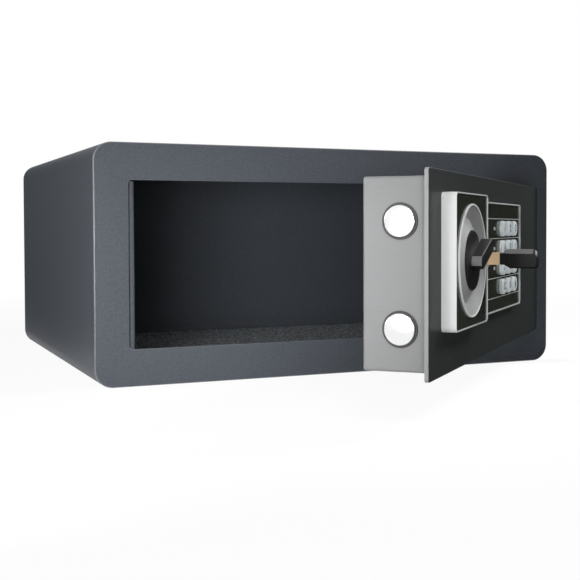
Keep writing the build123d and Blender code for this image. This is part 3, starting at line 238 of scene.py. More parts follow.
# Cabinet
# A wrap of sheet steel with a plate round the doorway and a panel let into the back,
# welded, ground flush and powder coated in a fine-textured blue-grey.
cabinet_size = (0.430, 0.370, 0.195)
cabinet_radius = 0.015
cabinet_wall = 0.003
doorway_size = (0.374, 0.135)
doorway_bottom = 0.030
doorway_radius = 0.0035
edge_round = 0.0012
doorway_round = 0.0006
anchor_radius = 0.005
anchor_places = [(x, y) for x in (-0.120, 0.120) for y in (-0.115, -0.005)]
corner_steps = 14
round_steps = 5
sharp_angle = 30
edge_band = 0.0015
edge_facing = 0.97
back_round = 0.0004
inner_round = 0.0003
drill_steps = 40
drill_depth = 0.02
coat_colour = (0.099, 0.110, 0.128, 1)
coat_shade = (0.077, 0.085, 0.099, 1)


def paint(name, values, links=None):
    """A Principled material: constants on its sockets, and a function that makes its links."""
    material = bpy.data.materials.new(name)
    material.use_nodes = True
    shader = material.node_tree.nodes["Principled BSDF"]
    for socket, value in values.items():
        shader.inputs[socket].default_value = value
    if links:
        for socket, wire in links(Wire(material.node_tree)).items():
            material.node_tree.links.new(wire.socket, shader.inputs[socket])
    return material


def object_point(wire):
    return wire.node("ShaderNodeTexCoord", output="Object")


def grain(wire, scale, detail=2.0, point=None):
    """Noise over the object's own coordinates, with features of about 1/scale metres."""
    point = point or object_point(wire)
    return wire.node(
        "ShaderNodeTexNoise", None, {"Vector": point, "Scale": scale, "Detail": detail}
    )


def bumped(wire, height, distance, strength=1.0):
    return wire.node(
        "ShaderNodeBump", None, {"Height": height, "Distance": distance, "Strength": strength}
    )


def blended(wire, factor, first, second):
    """One of two colours, or a mix of them, by a factor."""
    return wire.node(
        "ShaderNodeMix", {"data_type": "RGBA"}, {0: factor, 6: first, 7: second}, output=2
    )


def coat_links(wire):
    cells = wire.node(
        "ShaderNodeTexVoronoi", {"feature": "SMOOTH_F1"},
        {"Vector": object_point(wire), "Scale": 620.0, "Smoothness": 1.0},
    )
    orange_peel = grain(wire, 680.0, 2.0)
    clouds = grain(wire, 14.0, 3.0)
    return {
        "Base Color": blended(
            wire, clouds * 0.15 + orange_peel * 2.6 - 0.88, coat_shade, coat_colour
        ),
        "Roughness": 0.40 + orange_peel * 0.16,
        "Normal": bumped(wire, cells * 0.6 + orange_peel, 0.00022, 0.6),
    }


coat = paint("textured_powder_coat", {"Specular IOR Level": 0.12}, coat_links)
coat_edge = paint(
    "powder_coat_edge", {"Specular IOR Level": 1.0, "Coat Weight": 1.0, "Coat Roughness": 0.2},
    coat_links,
)


def rounded_rectangle(width, height, radius, steps=corner_steps, side_steps=1):
    """Points of a rounded rectangle about its centre, counter-clockwise from its lower right."""
    radius = max(radius, 1e-5)
    points = []
    for quarter, (sx, sy) in enumerate(((1, -1), (1, 1), (-1, 1), (-1, -1))):
        cx = sx * (width / 2 - radius)
        cy = sy * (height / 2 - radius)
        for i in range(steps + 1):
            angle = radians(-90 + 90 * quarter + 90 * i / steps)
            points.append((cx + radius * cos(angle), cy + radius * sin(angle)))
        side = (height if quarter % 2 == 0 else width) - 2 * radius
        heading = radians(90 + 90 * quarter)
        x, y = points[-1]
        for i in range(1, side_steps):
            step = side * i / side_steps
            points.append((x + step * cos(heading), y + step * sin(heading)))
    return points


def skin(name, loops, material, ring=False, first_cap=True, last_cap=True, sharp=sharp_angle):
    """A mesh through loops of equal length: a closed ring of loops, or a form with end caps."""
    form = bmesh.new()
    rows = [[form.verts.new(point) for point in loop] for loop in loops]
    count = len(rows[0])
    pairs = list(zip(rows, rows[1:])) + ([(rows[-1], rows[0])] if ring else [])
    for low, high in pairs:
        for i in range(count):
            j = (i + 1) % count
            form.faces.new((low[i], low[j], high[j], high[i]))
    if not ring:
        if first_cap:
            form.faces.new(list(reversed(rows[0])))
        if last_cap:
            form.faces.new(rows[-1])
    return make_piece(name, form, material, sharp)


def make_piece(name, form, material, sharp=sharp_angle):
    """A finished object from a bmesh, with outward faces and smooth shading up to an angle."""
    bmesh.ops.remove_doubles(form, verts=form.verts, dist=1e-7)
    bmesh.ops.recalc_face_normals(form, faces=form.faces)
    mesh = bpy.data.meshes.new(name)
    form.to_mesh(mesh)
    form.free()
    mesh.shade_smooth()
    mesh.set_sharp_from_angle(angle=radians(sharp))
    mesh.materials.append(material)
    piece = bpy.data.objects.new(name, mesh)
    bpy.context.scene.collection.objects.link(piece)
    return piece


def without(piece, cutter):
    """The piece with the cutter's volume taken out, as a plain mesh."""
    cut = piece.modifiers.new("cut", "BOOLEAN")
    cut.object = cutter
    cut.solver = "EXACT"
    bpy.context.view_layer.update()
    shown = piece.evaluated_get(bpy.context.evaluated_depsgraph_get())
    mesh = bpy.data.meshes.new_from_object(shown)
    mesh.set_sharp_from_angle(angle=radians(sharp_angle))
    piece.modifiers.remove(cut)
    piece.data = mesh
    bpy.data.objects.remove(cutter)
    return piece


def upright(points, y, z):
    """Points of an outline that stands across the cabinet, at a depth and a mid height."""
    return [(x, y, z + height) for x, height in points]


front_y = -cabinet_size[1] / 2
back_y = cabinet_size[1] / 2
cabinet_mid = cabinet_size[2] / 2
doorway_mid = doorway_bottom + doorway_size[1] / 2


def cabinet_loop(inset, y, steps=corner_steps):
    return upright(
        rounded_rectangle(
            cabinet_size[0] - 2 * inset, cabinet_size[2] - 2 * inset, cabinet_radius - inset, steps
        ), y, cabinet_mid,
    )


def doorway_loop(grow, y):
    return upright(
        rounded_rectangle(
            doorway_size[0] + 2 * grow, doorway_size[1] + 2 * grow, doorway_radius + grow
        ), y, doorway_mid,
    )


plate_back = front_y + cabinet_wall
surround_loops = [cabinet_loop(0, plate_back)]
for i in range(round_steps + 1):
    a = radians(90 * i / round_steps)
    surround_loops.append(
        cabinet_loop(edge_round * (1 - cos(a)), front_y + edge_round * (1 - sin(a)))
    )
for i in range(round_steps + 1):
    a = radians(90 * i / round_steps)
    surround_loops.append(
        doorway_loop(doorway_round * (1 - sin(a)), front_y + doorway_round * (1 - cos(a)))
    )
surround_loops.append(doorway_loop(0, plate_back))
surround = skin("door_surround", surround_loops, coat, ring=True)
surround.data.materials.append(coat_edge)
for face in surround.data.polygons:
    if abs(face.normal.y) < edge_facing and face.center.y < plate_back - edge_band:
        face.material_index = 1
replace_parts(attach(surround, "cabinet"), "front_frame")

wrap_loops = [
    cabinet_loop(0, plate_back), cabinet_loop(0, back_y - back_round),
    cabinet_loop(back_round, back_y), cabinet_loop(cabinet_wall - inner_round, back_y),
    cabinet_loop(cabinet_wall, back_y - inner_round), cabinet_loop(cabinet_wall, plate_back),
]
wrap = skin("cabinet_wrap", wrap_loops, coat, ring=True)
drill = bmesh.new()
for x, y in anchor_places:
    bmesh.ops.create_cone(
        drill, cap_ends=True, segments=drill_steps, radius1=anchor_radius,
        radius2=anchor_radius, depth=drill_depth, matrix=Matrix.Translation((x, y, 0)),
    )
wrap = without(wrap, make_piece("drill", drill, coat))
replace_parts(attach(wrap, "cabinet"), "body_shell")

# Painted shade: the strike strip's coat turns near black along the doorway's left and top edges.
painted_shade_width = 0.0016
painted_shade_fade = (0.35, 1.15)
painted_shade_colour = (0.004, 0.0045, 0.006, 1)


def strike_painted_shade_links(wire):
    """The cabinet's coat, with painted shade in the crevice where the strip meets the back of the
    plate.
    """
    place = object_point(wire)
    across = wire.node("ShaderNodeSeparateXYZ", None, {"Vector": place}, output=0)
    height = wire.node("ShaderNodeSeparateXYZ", None, {"Vector": place}, output=2)
    from_side = (across + doorway_size[0] / 2) * (1 / painted_shade_width)
    from_top = (doorway_bottom + doorway_size[1] - height) * (1 / painted_shade_width)
    lit = wire.node(
        "ShaderNodeMapRange", {"interpolation_type": "SMOOTHSTEP"},
        {"Value": from_side.maths("MINIMUM", from_side, from_top),
         "From Min": painted_shade_fade[0], "From Max": painted_shade_fade[1]},
    )
    links = coat_links(wire)
    # Painted shade laid over the coat's colour near the doorway's edges.
    links["Base Color"] = blended(wire, lit, painted_shade_colour, links["Base Color"])
    return links


strike_coat_painted_shade = paint("strike_coat_painted_shade", {"Specular IOR Level": 0.12}, strike_painted_shade_links)


def refinish(names, material):
    """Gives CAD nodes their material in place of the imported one."""
    for node_name in names:
        nodes[node_name].data.materials.clear()
        nodes[node_name].data.materials.append(material)


refinish(["back_panel"], coat)
refinish(["strike_channel"], strike_coat_painted_shade)

# Floor mat
# A sheet of speckled carpet, cut to the floor, punched over the anchor holes and laid loose.
mat_low, mat_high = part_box("floor_mat")
mat_cells = (200, 158)
mat_pile = 0.0007
mat_hole_margin = 0.004
mat_side = 0.001
pile_repeat = 997
pile_stride = 31
fibre_middle = (0.074, 0.088, 0.102, 1)
fleck_stops = [(0.47, (0, 0, 0, 1)), (0.60, (1, 1, 1, 1))]
fibre_dark = (0.030, 0.031, 0.034, 1)
fibre_light = (0.40, 0.48, 0.56, 1)


def carpet_links(wire):
    point = object_point(wire)
    tufts = wire.node("ShaderNodeTexVoronoi", None, {"Vector": point, "Scale": 520.0})
    fibres = grain(wire, 900.0, 3.0, point)
    flecks = wire.node(
        "ShaderNodeValToRGB", {"stops": fleck_stops}, {0: grain(wire, 460.0, 2.0, point)}
    )
    base = blended(wire, fibres, fibre_dark, fibre_middle)
    return {
        "Base Color": blended(wire, flecks, base, fibre_light),
        "Normal": bumped(wire, fibres - tufts * 0.8, 0.0008, 0.9),
    }


carpet = paint(
    "speckled_carpet", {"Roughness": 1.0, "Specular IOR Level": 0.1, "Sheen Weight": 0.3},
    carpet_links,
)
pile = bmesh.new()
bmesh.ops.create_grid(pile, x_segments=mat_cells[0], y_segments=mat_cells[1], size=0.5)
for vert in pile.verts:
    vert.co.x = (mat_low.x + mat_high.x) / 2 + vert.co.x * (mat_high.x - mat_low.x)
    vert.co.y = (mat_low.y + mat_high.y) / 2 + vert.co.y * (mat_high.y - mat_low.y)
    vert.co.z = mat_high.z
swallowed = [
    face for face in pile.faces
    if any((face.calc_center_median().xy - Vector(spot)).length
           < anchor_radius + mat_hole_margin for spot in anchor_places)
]
bmesh.ops.delete(pile, geom=swallowed, context="FACES")
skirt = bmesh.ops.extrude_face_region(pile, geom=list(pile.faces))
for item in skirt["geom"]:
    if isinstance(item, bmesh.types.BMVert):
        item.co.z = mat_low.z
pile_noise = [0.5 + 0.5 * sin(i * 12.9898) * cos(i * 78.233) for i in range(pile_repeat)]
for i, vert in enumerate(pile.verts):
    if vert.co.z > mat_low.z + mat_side:
        vert.co.z -= mat_pile * pile_noise[(i * pile_stride) % pile_repeat]
mat = make_piece("carpet_mat", pile, carpet, sharp=180)
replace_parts(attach(mat, "cabinet"), "floor_mat")

# Hinges
# Zinc-plated strip and pins: brackets on the side wall, and gooseneck arms on the door.
zinc_light = (0.50, 0.50, 0.49, 1)
zinc_dark = (0.36, 0.37, 0.38, 1)


def zinc_links(wire):
    spangle = wire.node(
        "ShaderNodeTexVoronoi", None, {"Vector": object_point(wire), "Scale": 260.0}, output=1
    )
    tone = wire.node("ShaderNodeRGBToBW", None, {0: spangle})
    return {
        "Base Color": blended(wire, tone, zinc_dark, zinc_light),
        "Roughness": 0.28 + grain(wire, 60.0, 4.0) * 0.2,
        "Normal": bumped(wire, grain(wire, 1500.0), 0.00004, 0.4),
    }


zinc = paint("zinc_plate", {"Metallic": 1.0}, zinc_links)
refinish(
    ["hinge_bracket_lower", "hinge_bracket_upper", "hinge_pin_lower", "hinge_pin_upper",
     "hinge_arm_lower", "hinge_arm_upper", "guide_studs", "drive_cam", "knob_spindle",
     "solenoid_plunger", "release_link", "release_cam", "fascia_screws", "lock_nut",
     "board_standoffs", "cover_posts", "bolt_carriage"], zinc,
)

# Door cover
# A folded tray of galvanised sheet with a faint rolled grain, screwed on behind the plate.
tray_light = (0.285, 0.287, 0.29, 1)
tray_dark = (0.235, 0.237, 0.24, 1)


def tray_links(wire):
    streaks = wire.node(
        "ShaderNodeMapping", None, {"Vector": object_point(wire), "Scale": (90.0, 90.0, 1500.0)}
    )
    rolled = grain(wire, 1.0, 3.0, streaks)
    clouds = grain(wire, 26.0, 4.0)
    return {
        "Base Color": blended(wire, rolled * 0.5 + clouds * 0.5, tray_dark, tray_light),
        "Roughness": 0.42 + rolled * 0.12,
        "Normal": bumped(wire, rolled, 0.00003, 0.3),
    }


tray_metal = paint("galvanised_sheet", {"Metallic": 0.0, "Specular IOR Level": 0.2}, tray_links)
refinish(["door_cover"], tray_metal)

# Door plate
# 3 mm galvanised steel with a satin graphite coat on its outer face only, hung 44.4 degrees
# open on the hinge axis.
door_angle = radians(44.4)
pin_place = Vector((0.199, -0.169, 0))
door_pin_from_edge = 0.385
door_pin_depth = 0.016
door_size = (0.369, 0.133)
door_radius = 0.0025
door_sheet = 0.003
door_round = 0.0006
door_colours = ((0.030, 0.034, 0.033, 1), (0.037, 0.042, 0.041, 1))
edge_colours = ((0.30, 0.303, 0.306, 1), (0.35, 0.353, 0.356, 1))
door_back_facing = -0.4
door_front_facing = 0.4
along = Vector((cos(door_angle), sin(door_angle), 0))
outward = Vector((sin(door_angle), -cos(door_angle), 0))
up = Vector((0, 0, 1))
door_corner = pin_place - along * door_pin_from_edge + outward * door_pin_depth


def on_door(s, z, n):
    """A point by its distance along the door, its height and its distance outward."""
    return door_corner + along * s + up * z + outward * n


def door_loop(points, s, z, n):
    return [on_door(s + x, z + y, n) for x, y in points]


def slab_loops(size, radius, middle, near, far, round_off, steps=corner_steps, side_steps=1):
    """Loops of a rounded plate from its back to its rounded front edge."""
    loops = [door_loop(rounded_rectangle(*size, radius, steps, side_steps), *middle, near)]
    for i in range(round_steps + 1):
        a = radians(90 * i / round_steps)
        inset = round_off * (1 - cos(a))
        outline = rounded_rectangle(
            size[0] - 2 * inset, size[1] - 2 * inset, radius - inset, steps, side_steps
        )
        loops.append(door_loop(outline, *middle, far - round_off * (1 - sin(a))))
    return loops


def even_finish(colours, tone, rough, rough_grain, relief=None):
    """Links for a finish with noise between two close colours and on its roughness.

    tone and rough_grain are a noise's scale and detail, rough is the least roughness and what
    the noise adds, and relief is a bump's noise scale, detail, height and strength.
    """
    def links(wire):
        made = {
            "Base Color": blended(wire, grain(wire, *tone), *colours),
            "Roughness": rough[0] + grain(wire, *rough_grain) * rough[1],
        }
        if relief:
            made["Normal"] = bumped(wire, grain(wire, *relief[:2]), *relief[2:])
        return made

    return links


door_coat = paint(
    "graphite_coat", {"Specular IOR Level": 0.1},
    even_finish(
        door_colours, tone=(18.0, 3.0), rough=(0.30, 0.14), rough_grain=(600.0, 3.0),
        relief=(600.0, 3.0, 0.00006, 0.4),
    ),
)
bare_edge = paint(
    "bare_steel_edge", {"Specular IOR Level": 0.3},
    even_finish(edge_colours, tone=(700.0, 3.0), rough=(0.4, 0.15), rough_grain=(700.0, 3.0)),
)
door_middle = (door_size[0] / 2, doorway_mid)
slab = skin(
    "door_slab",
    slab_loops(door_size, door_radius, door_middle, -door_sheet, 0, door_round), door_coat,
)
slab.data.materials.append(tray_metal)
slab.data.materials.append(bare_edge)
for face in slab.data.polygons:
    facing = face.normal.dot(outward)
    face.material_index = (
        1 if facing < door_back_facing else 2 if facing < door_front_facing else 0
    )
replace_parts(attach(slab, "door"), "door_plate")

# Cover screws
# Six zinc pan heads with crossed slots, set out by one rule over the rear of the tray.
screw_pitch = (0.1565, 0.1076)
screw_middle = (0.1765, doorway_mid)
screw_face = -0.046
screw_radius = 0.00375
screw_height = 0.0022
screw_slot = (0.0042, 0.0009, 0.0012)
screw_columns = 3
screw_rows = 2
screw_steps = 32

head = bmesh.new()
pan_profile = [(0.45, 1.0), (0.75, 0.86), (0.93, 0.5), (1.0, 0.0)]
rings = []
for share, rise in pan_profile:
    rings.append([
        head.verts.new((share * screw_radius * cos(2 * pi * i / screw_steps),
                        share * screw_radius * sin(2 * pi * i / screw_steps),
                        screw_height * rise))
        for i in range(screw_steps)
    ])
for inner, outer in zip(rings, rings[1:]):
    for i in range(screw_steps):
        j = (i + 1) % screw_steps
        head.faces.new((inner[i], outer[i], outer[j], inner[j]))
head.faces.new(rings[0])
head.faces.new(list(reversed(rings[-1])))
screw_head = make_piece("screw_head", head, zinc)
for quarter in (0, 90):
    slot = bmesh.new()
    bmesh.ops.create_cube(
        slot, size=1.0,
        matrix=Matrix.Translation((0, 0, screw_height)) @ Matrix.Rotation(radians(quarter), 4, "Z")
        @ Matrix.Diagonal((*screw_slot, 1)),
    )
    screw_head = without(screw_head, make_piece("screw_slot", slot, zinc))


def layout_tree(name, inputs):
    """A modifier's node tree with named inputs of a size or a count, and its entry node."""
    tree = bpy.data.node_groups.new(name, "GeometryNodeTree")
    tree.is_modifier = True
    tree.interface.new_socket("Geometry", in_out="INPUT", socket_type="NodeSocketGeometry")
    for label, kind in inputs.items():
        tree.interface.new_socket(label, in_out="INPUT", socket_type="NodeSocket" + kind)
    tree.interface.new_socket("Geometry", in_out="OUTPUT", socket_type="NodeSocketGeometry")
    return tree, tree.nodes.new("NodeGroupInput")


def close_layout(tree, copies, material):
    """Makes a tree's copies real, gives them their material and sends them out."""
    real = tree.nodes.new("GeometryNodeRealizeInstances")
    dress = tree.nodes.new("GeometryNodeSetMaterial")
    end = tree.nodes.new("NodeGroupOutput")
    dress.inputs["Material"].default_value = material
    tree.links.new(copies, real.inputs["Geometry"])
    tree.links.new(real.outputs["Geometry"], dress.inputs["Geometry"])
    tree.links.new(dress.outputs["Geometry"], end.inputs["Geometry"])
    return tree


def screw_layout(pattern, material):
    """A node tree that sets copies of a screw head out on a grid of named pitches."""
    tree, entry = layout_tree(
        "cover_screw_layout",
        {"Length": "Float", "Height": "Float", "Columns": "Int", "Rows": "Int"},
    )
    grid = tree.nodes.new("GeometryNodeMeshGrid")
    place = tree.nodes.new("GeometryNodeInstanceOnPoints")
    source = tree.nodes.new("GeometryNodeObjectInfo")
    source.inputs["Object"].default_value = pattern
    tree.links.new(entry.outputs["Length"], grid.inputs["Size X"])
    tree.links.new(entry.outputs["Height"], grid.inputs["Size Y"])
    tree.links.new(entry.outputs["Columns"], grid.inputs["Vertices X"])
    tree.links.new(entry.outputs["Rows"], grid.inputs["Vertices Y"])
    tree.links.new(grid.outputs["Mesh"], place.inputs["Points"])
    tree.links.new(source.outputs["Geometry"], place.inputs["Instance"])
    return close_layout(tree, place.outputs["Instances"], material)


def grown(name, tree, values, transform, material, body):
    """The plain mesh that a node tree grows, put in place and riding on a body."""
    seed = bpy.data.objects.new(name, bpy.data.meshes.new(name))
    bpy.context.scene.collection.objects.link(seed)
    growth = seed.modifiers.new("growth", "NODES")
    growth.node_group = tree
    for item in tree.interface.items_tree:
        if item.in_out == "INPUT" and item.name in values:
            growth[item.identifier] = values[item.name]
    bpy.context.view_layer.update()
    shown = seed.evaluated_get(bpy.context.evaluated_depsgraph_get())
    mesh = bpy.data.meshes.new_from_object(shown)
    seed.modifiers.remove(growth)
    seed.data = mesh
    mesh.transform(transform)
    mesh.materials.clear()
    mesh.materials.append(material)
    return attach(seed, body)


def door_matrix(s, z, n, flip=False):
    """Turns a piece made flat on XY into the door's plane, facing outward or into the safe."""
    facing = -outward if flip else outward
    side = -along if flip else along
    columns = Matrix((side, up, facing)).transposed()
    return Matrix.Translation(on_door(s, z, n)) @ columns.to_4x4()


screws = grown(
    "cover_screw_heads", screw_layout(screw_head, zinc),
    {"Length": (screw_columns - 1) * screw_pitch[0],
     "Height": (screw_rows - 1) * screw_pitch[1], "Columns": screw_columns, "Rows": screw_rows},
    door_matrix(*screw_middle, screw_face, flip=True), zinc, "door",
)
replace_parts(screws, "cover_screws")
bpy.data.objects.remove(screw_head)

# Bolts and their bushes
# Turned bars, ground and chromed to a mirror, in grey moulded bushes in the free end.
bolt_radius = 0.01025
bolt_tip_s = 0.0054
bolt_inner_s = 0.0504
bolt_stud_radius = 0.004
bolt_stud_s = 0.0549
bolt_out = -0.021
bolt_heights = {"bolt_lower": 0.063, "bolt_upper": 0.131}
bolt_break = 0.0011
turned_steps = 96
turned_sharp = 24
chrome_colours = ((0.86, 0.865, 0.87, 1), (0.93, 0.93, 0.93, 1))
bush_colours = ((0.035, 0.035, 0.037, 1), (0.05, 0.05, 0.052, 1))


def turned(name, profile_points, place, axis_s, material, steps=turned_steps, closed=True):
    """A lathe form about a line along the door or out of it: points of (radius, travel)."""
    form = bmesh.new()
    rows = []
    for radius, travel in profile_points:
        row = []
        for i in range(steps):
            a = 2 * pi * i / steps
            across, rise = radius * cos(a), radius * sin(a)
            if axis_s:
                row.append(form.verts.new(on_door(travel, place[1] + rise, place[0] + across)))
            else:
                row.append(form.verts.new(on_door(place[0] + across, place[1] + rise, travel)))
        rows.append(row)
    pairs = list(zip(rows, rows[1:])) + ([] if closed else [(rows[-1], rows[0])])
    for low, high in pairs:
        for i in range(steps):
            j = (i + 1) % steps
            form.faces.new((low[i], low[j], high[j], high[i]))
    if closed:
        form.faces.new(rows[0])
        form.faces.new(list(reversed(rows[-1])))
    return make_piece(name, form, material, sharp=turned_sharp)


chrome = paint(
    "mirror_chrome", {"Metallic": 1.0},
    even_finish(chrome_colours, tone=(40.0, 3.0), rough=(0.05, 0.05), rough_grain=(220.0, 4.0)),
)
bush_grey = paint(
    "grey_moulding", {"Specular IOR Level": 0.4},
    even_finish(
        bush_colours, tone=(300.0, 3.0), rough=(0.45, 0.1), rough_grain=(800.0, 2.0),
        relief=(1400.0, 2.0, 0.00003, 0.4),
    ),
)

for name, height in bolt_heights.items():
    bolt_profile = [(bolt_radius - bolt_break, bolt_tip_s)]
    for i in range(1, round_steps + 1):
        a = radians(90 * i / round_steps)
        bolt_profile.append(
            (bolt_radius - bolt_break * (1 - sin(a)), bolt_tip_s + bolt_break * (1 - cos(a)))
        )
    bolt_profile += [(bolt_radius, bolt_inner_s), (bolt_stud_radius, bolt_inner_s),
                     (bolt_stud_radius, bolt_stud_s)]
    bar = turned(name + "_bar", bolt_profile, (bolt_out, height), True, chrome)
    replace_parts(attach(bar, "bolt_work"), name)

bush_bore = 0.01033
bush_collar = 0.0117
bush_outer = 0.01123
bush_face_s = 0.007
tray_face_s = 0.008
bush_inner_s = 0.014
bush_edge = 0.0003
bush_parts = []
for name, height in bolt_heights.items():
    bush_profile = [
        (bush_bore, bush_inner_s), (bush_bore, bush_face_s + bush_edge),
        (bush_bore + bush_edge, bush_face_s), (bush_collar - bush_edge, bush_face_s),
        (bush_collar, bush_face_s + bush_edge), (bush_collar, tray_face_s),
        (bush_outer, tray_face_s), (bush_outer, bush_inner_s),
    ]
    ring_piece = turned(
        name + "_bush", bush_profile, (bolt_out, height), True, bush_grey, closed=False
    )
    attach(ring_piece, "door")
    bush_parts.append(ring_piece)
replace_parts(bush_parts[0], "bolt_bushes")
refinish(["knob_bush"], bush_grey)

# Lock block
# A square satin-silver moulding with a thin rim, round a glossy black face.
block_middle = (0.0735, 0.10465)
block_size = (0.090, 0.0901)
block_radius = 0.0035
block_depth = 0.010
block_rim = 0.0008
block_round = 0.0004
block_face_top = 0.00925
block_web_top = 0.00825
moulding_steps = (24, 24)
block_web = 0.001
block_wall = 0.002
wall_radius = 0.0015
dish_radius = 0.0383
dish_gap = 0.0001
face_gap = 0.0001
shaded_rim_facing = 0.9
# A darker copy of the satin silver for the moulding rims that face outward: painted shade.
shaded_rim_colours = ((0.44, 0.442, 0.445, 1), (0.50, 0.502, 0.505, 1))
silver_colour = (0.86, 0.862, 0.865, 1)
silver_shade = (0.79, 0.793, 0.797, 1)
gloss_colours = ((0.030, 0.034, 0.027, 1), (0.038, 0.043, 0.034, 1))


def silver_links(wire):
    flake = wire.node(
        "ShaderNodeTexVoronoi", None, {"Vector": object_point(wire), "Scale": 2600.0}, output=1
    )
    sparkle = wire.node("ShaderNodeRGBToBW", None, {0: flake})
    return {
        "Base Color": blended(wire, sparkle, silver_shade, silver_colour),
        "Roughness": 0.36 + grain(wire, 240.0, 3.0) * 0.1,
        "Normal": bumped(wire, grain(wire, 900.0), 0.00003, 0.35),
    }


silver = paint("satin_silver", {"Metallic": 0.0, "Specular IOR Level": 0.3}, silver_links)
shaded_rim_silver = paint(
    "shaded_rim_silver", {"Metallic": 0.0, "Specular IOR Level": 0.3},
    even_finish(shaded_rim_colours, tone=(500.0, 3.0), rough=(0.34, 0.12), rough_grain=(500.0, 3.0)),
)
gloss_black = paint(
    "gloss_black", {"Specular IOR Level": 0.25},
    even_finish(gloss_colours, tone=(30.0, 3.0), rough=(0.10, 0.06), rough_grain=(400.0, 3.0)),
)


def shade_rim(piece):
    """Gives a moulding's outward-facing rim a darker copy of the silver, as painted shade."""
    piece.data.materials.append(shaded_rim_silver)
    for face in piece.data.polygons:
        if face.normal.dot(outward) > shaded_rim_facing:
            face.material_index = 1


def circle_like(outline, radius):
    """A circle with one point for each point of an outline, at the same bearing."""
    return [
        (radius * cos(atan2(y, x)), radius * sin(atan2(y, x))) for x, y in outline
    ]


def rim_loops(size, radius, middle, top, rim, seat, round_off):
    """A moulding's outer wall, rounded edge, rim and the step down to its sunk face."""
    loops = slab_loops(size, radius, middle, 0, top, round_off, *moulding_steps)
    inner = rounded_rectangle(
        size[0] - 2 * rim, size[1] - 2 * rim, radius - rim, *moulding_steps
    )
    loops.append(door_loop(inner, *middle, top))
    loops.append(door_loop(inner, *middle, seat))
    return loops


block_seat = block_web_top - 2 * face_gap
block_web_under = block_seat - block_web
block_loops = rim_loops(
    block_size, block_radius, block_middle, block_depth, block_rim, block_web_top, block_round,
)
block_inner = rounded_rectangle(
    block_size[0] - 2 * block_rim, block_size[1] - 2 * block_rim, block_radius - block_rim,
    *moulding_steps,
)
block_hole = circle_like(block_inner, dish_radius + dish_gap)
wall_outline = rounded_rectangle(
    block_size[0] - 2 * block_wall, block_size[1] - 2 * block_wall, wall_radius, *moulding_steps
)
block_loops += [
    door_loop(block_inner, *block_middle, block_seat),
    door_loop(block_hole, *block_middle, block_seat),
    door_loop(block_hole, *block_middle, block_web_under),
    door_loop(wall_outline, *block_middle, block_web_under),
    door_loop(wall_outline, *block_middle, 0),
]
block = skin("lock_block_moulding", block_loops, silver, ring=True)
shade_rim(block)
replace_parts(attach(block, "door"), "lock_block")

face_outline = rounded_rectangle(
    block_size[0] - 2 * (block_rim + face_gap), block_size[1] - 2 * (block_rim + face_gap),
    block_radius - block_rim, *moulding_steps,
)
face_hole = circle_like(face_outline, dish_radius + dish_gap)
block_face = skin(
    "lock_block_gloss",
    [door_loop(face_outline, *block_middle, block_web_top),
     door_loop(face_outline, *block_middle, block_face_top),
     door_loop(face_hole, *block_middle, block_face_top),
     door_loop(face_hole, *block_middle, block_web_top)], gloss_black, ring=True,
)
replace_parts(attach(block_face, "door"), "lock_block_face")

# Knob dish
# A silver trough pressed round the knob: thin bright lip, outer cone, valley and inner cone.
# The trough inside the lip is in a darker copy of the lip's silver, which is painted shade.
knob_place = (0.0735, 0.1045)
dish_profile = [
    (0.0383, 0.0), (0.0383, 0.0101), (0.0381, 0.0104), (0.0375, 0.0104), (0.0372, 0.0101),
    (0.0370, 0.0094), (0.0366, 0.0092), (0.0295, 0.0050), (0.0290, 0.0048), (0.0285, 0.0050),
    (0.0210, 0.0090), (0.0206, 0.0092),
    (0.0204, 0.0090), (0.0204, 0.0076), (0.0072, 0.0076), (0.0072, 0.0061), (0.0189, 0.0061),
    (0.0290, 0.0033), (0.03665, 0.0074), (0.03665, 0.0),
]
dish_steps = 144
lip_inner = 0.0371
# The trough takes this darker copy of the silver and its lip the bright silver: painted shade in
# the trough.
shaded_dish_colours = ((0.38, 0.383, 0.387, 1), (0.45, 0.453, 0.457, 1))

shaded_dish_silver = paint(
    "shaded_dish_silver", {"Metallic": 0.1, "Specular IOR Level": 0.4},
    even_finish(shaded_dish_colours, tone=(500.0, 3.0), rough=(0.30, 0.12), rough_grain=(500.0, 3.0)),
)
dish = turned(
    "knob_trough", dish_profile, knob_place, False, shaded_dish_silver, steps=dish_steps, closed=False
)
dish.data.materials.append(silver)
dish_centre = on_door(*knob_place, 0)
for face in dish.data.polygons:
    reach = face.center - dish_centre
    if (reach - outward * reach.dot(outward)).length > lip_inner:
        face.material_index = 1
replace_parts(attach(dish, "door"), "knob_dish")

# Knob
# One black moulding: a disc, and a round-ended lever that stands on it and reaches over the dish.
knob_top = 0.0104
knob_radius = 0.020
lever_angle = radians(21)
lever_mid = 0.01225
lever_size = (0.0385, 0.010)
lever_top = 0.0176
lever_round = 0.0009
knob_stem = 0.0065
knob_stem_end = 0.0015
knob_under = 0.0079
knob_break = 0.0004
knob_steps = 128
lever_sink = 0.0003
lever_steps = 16
lever_highlight_facing = -0.25
lever_highlight_slope = 0.5
lever_highlight_under = -0.55
black_colours = ((0.005, 0.005, 0.005, 1), (0.009, 0.009, 0.009, 1))
# A lighter grey copy of the satin black, for painted highlights on the lever's round end and the
# key grip's upper edge.
painted_highlight_colours = ((0.17, 0.17, 0.172, 1), (0.25, 0.25, 0.252, 1))

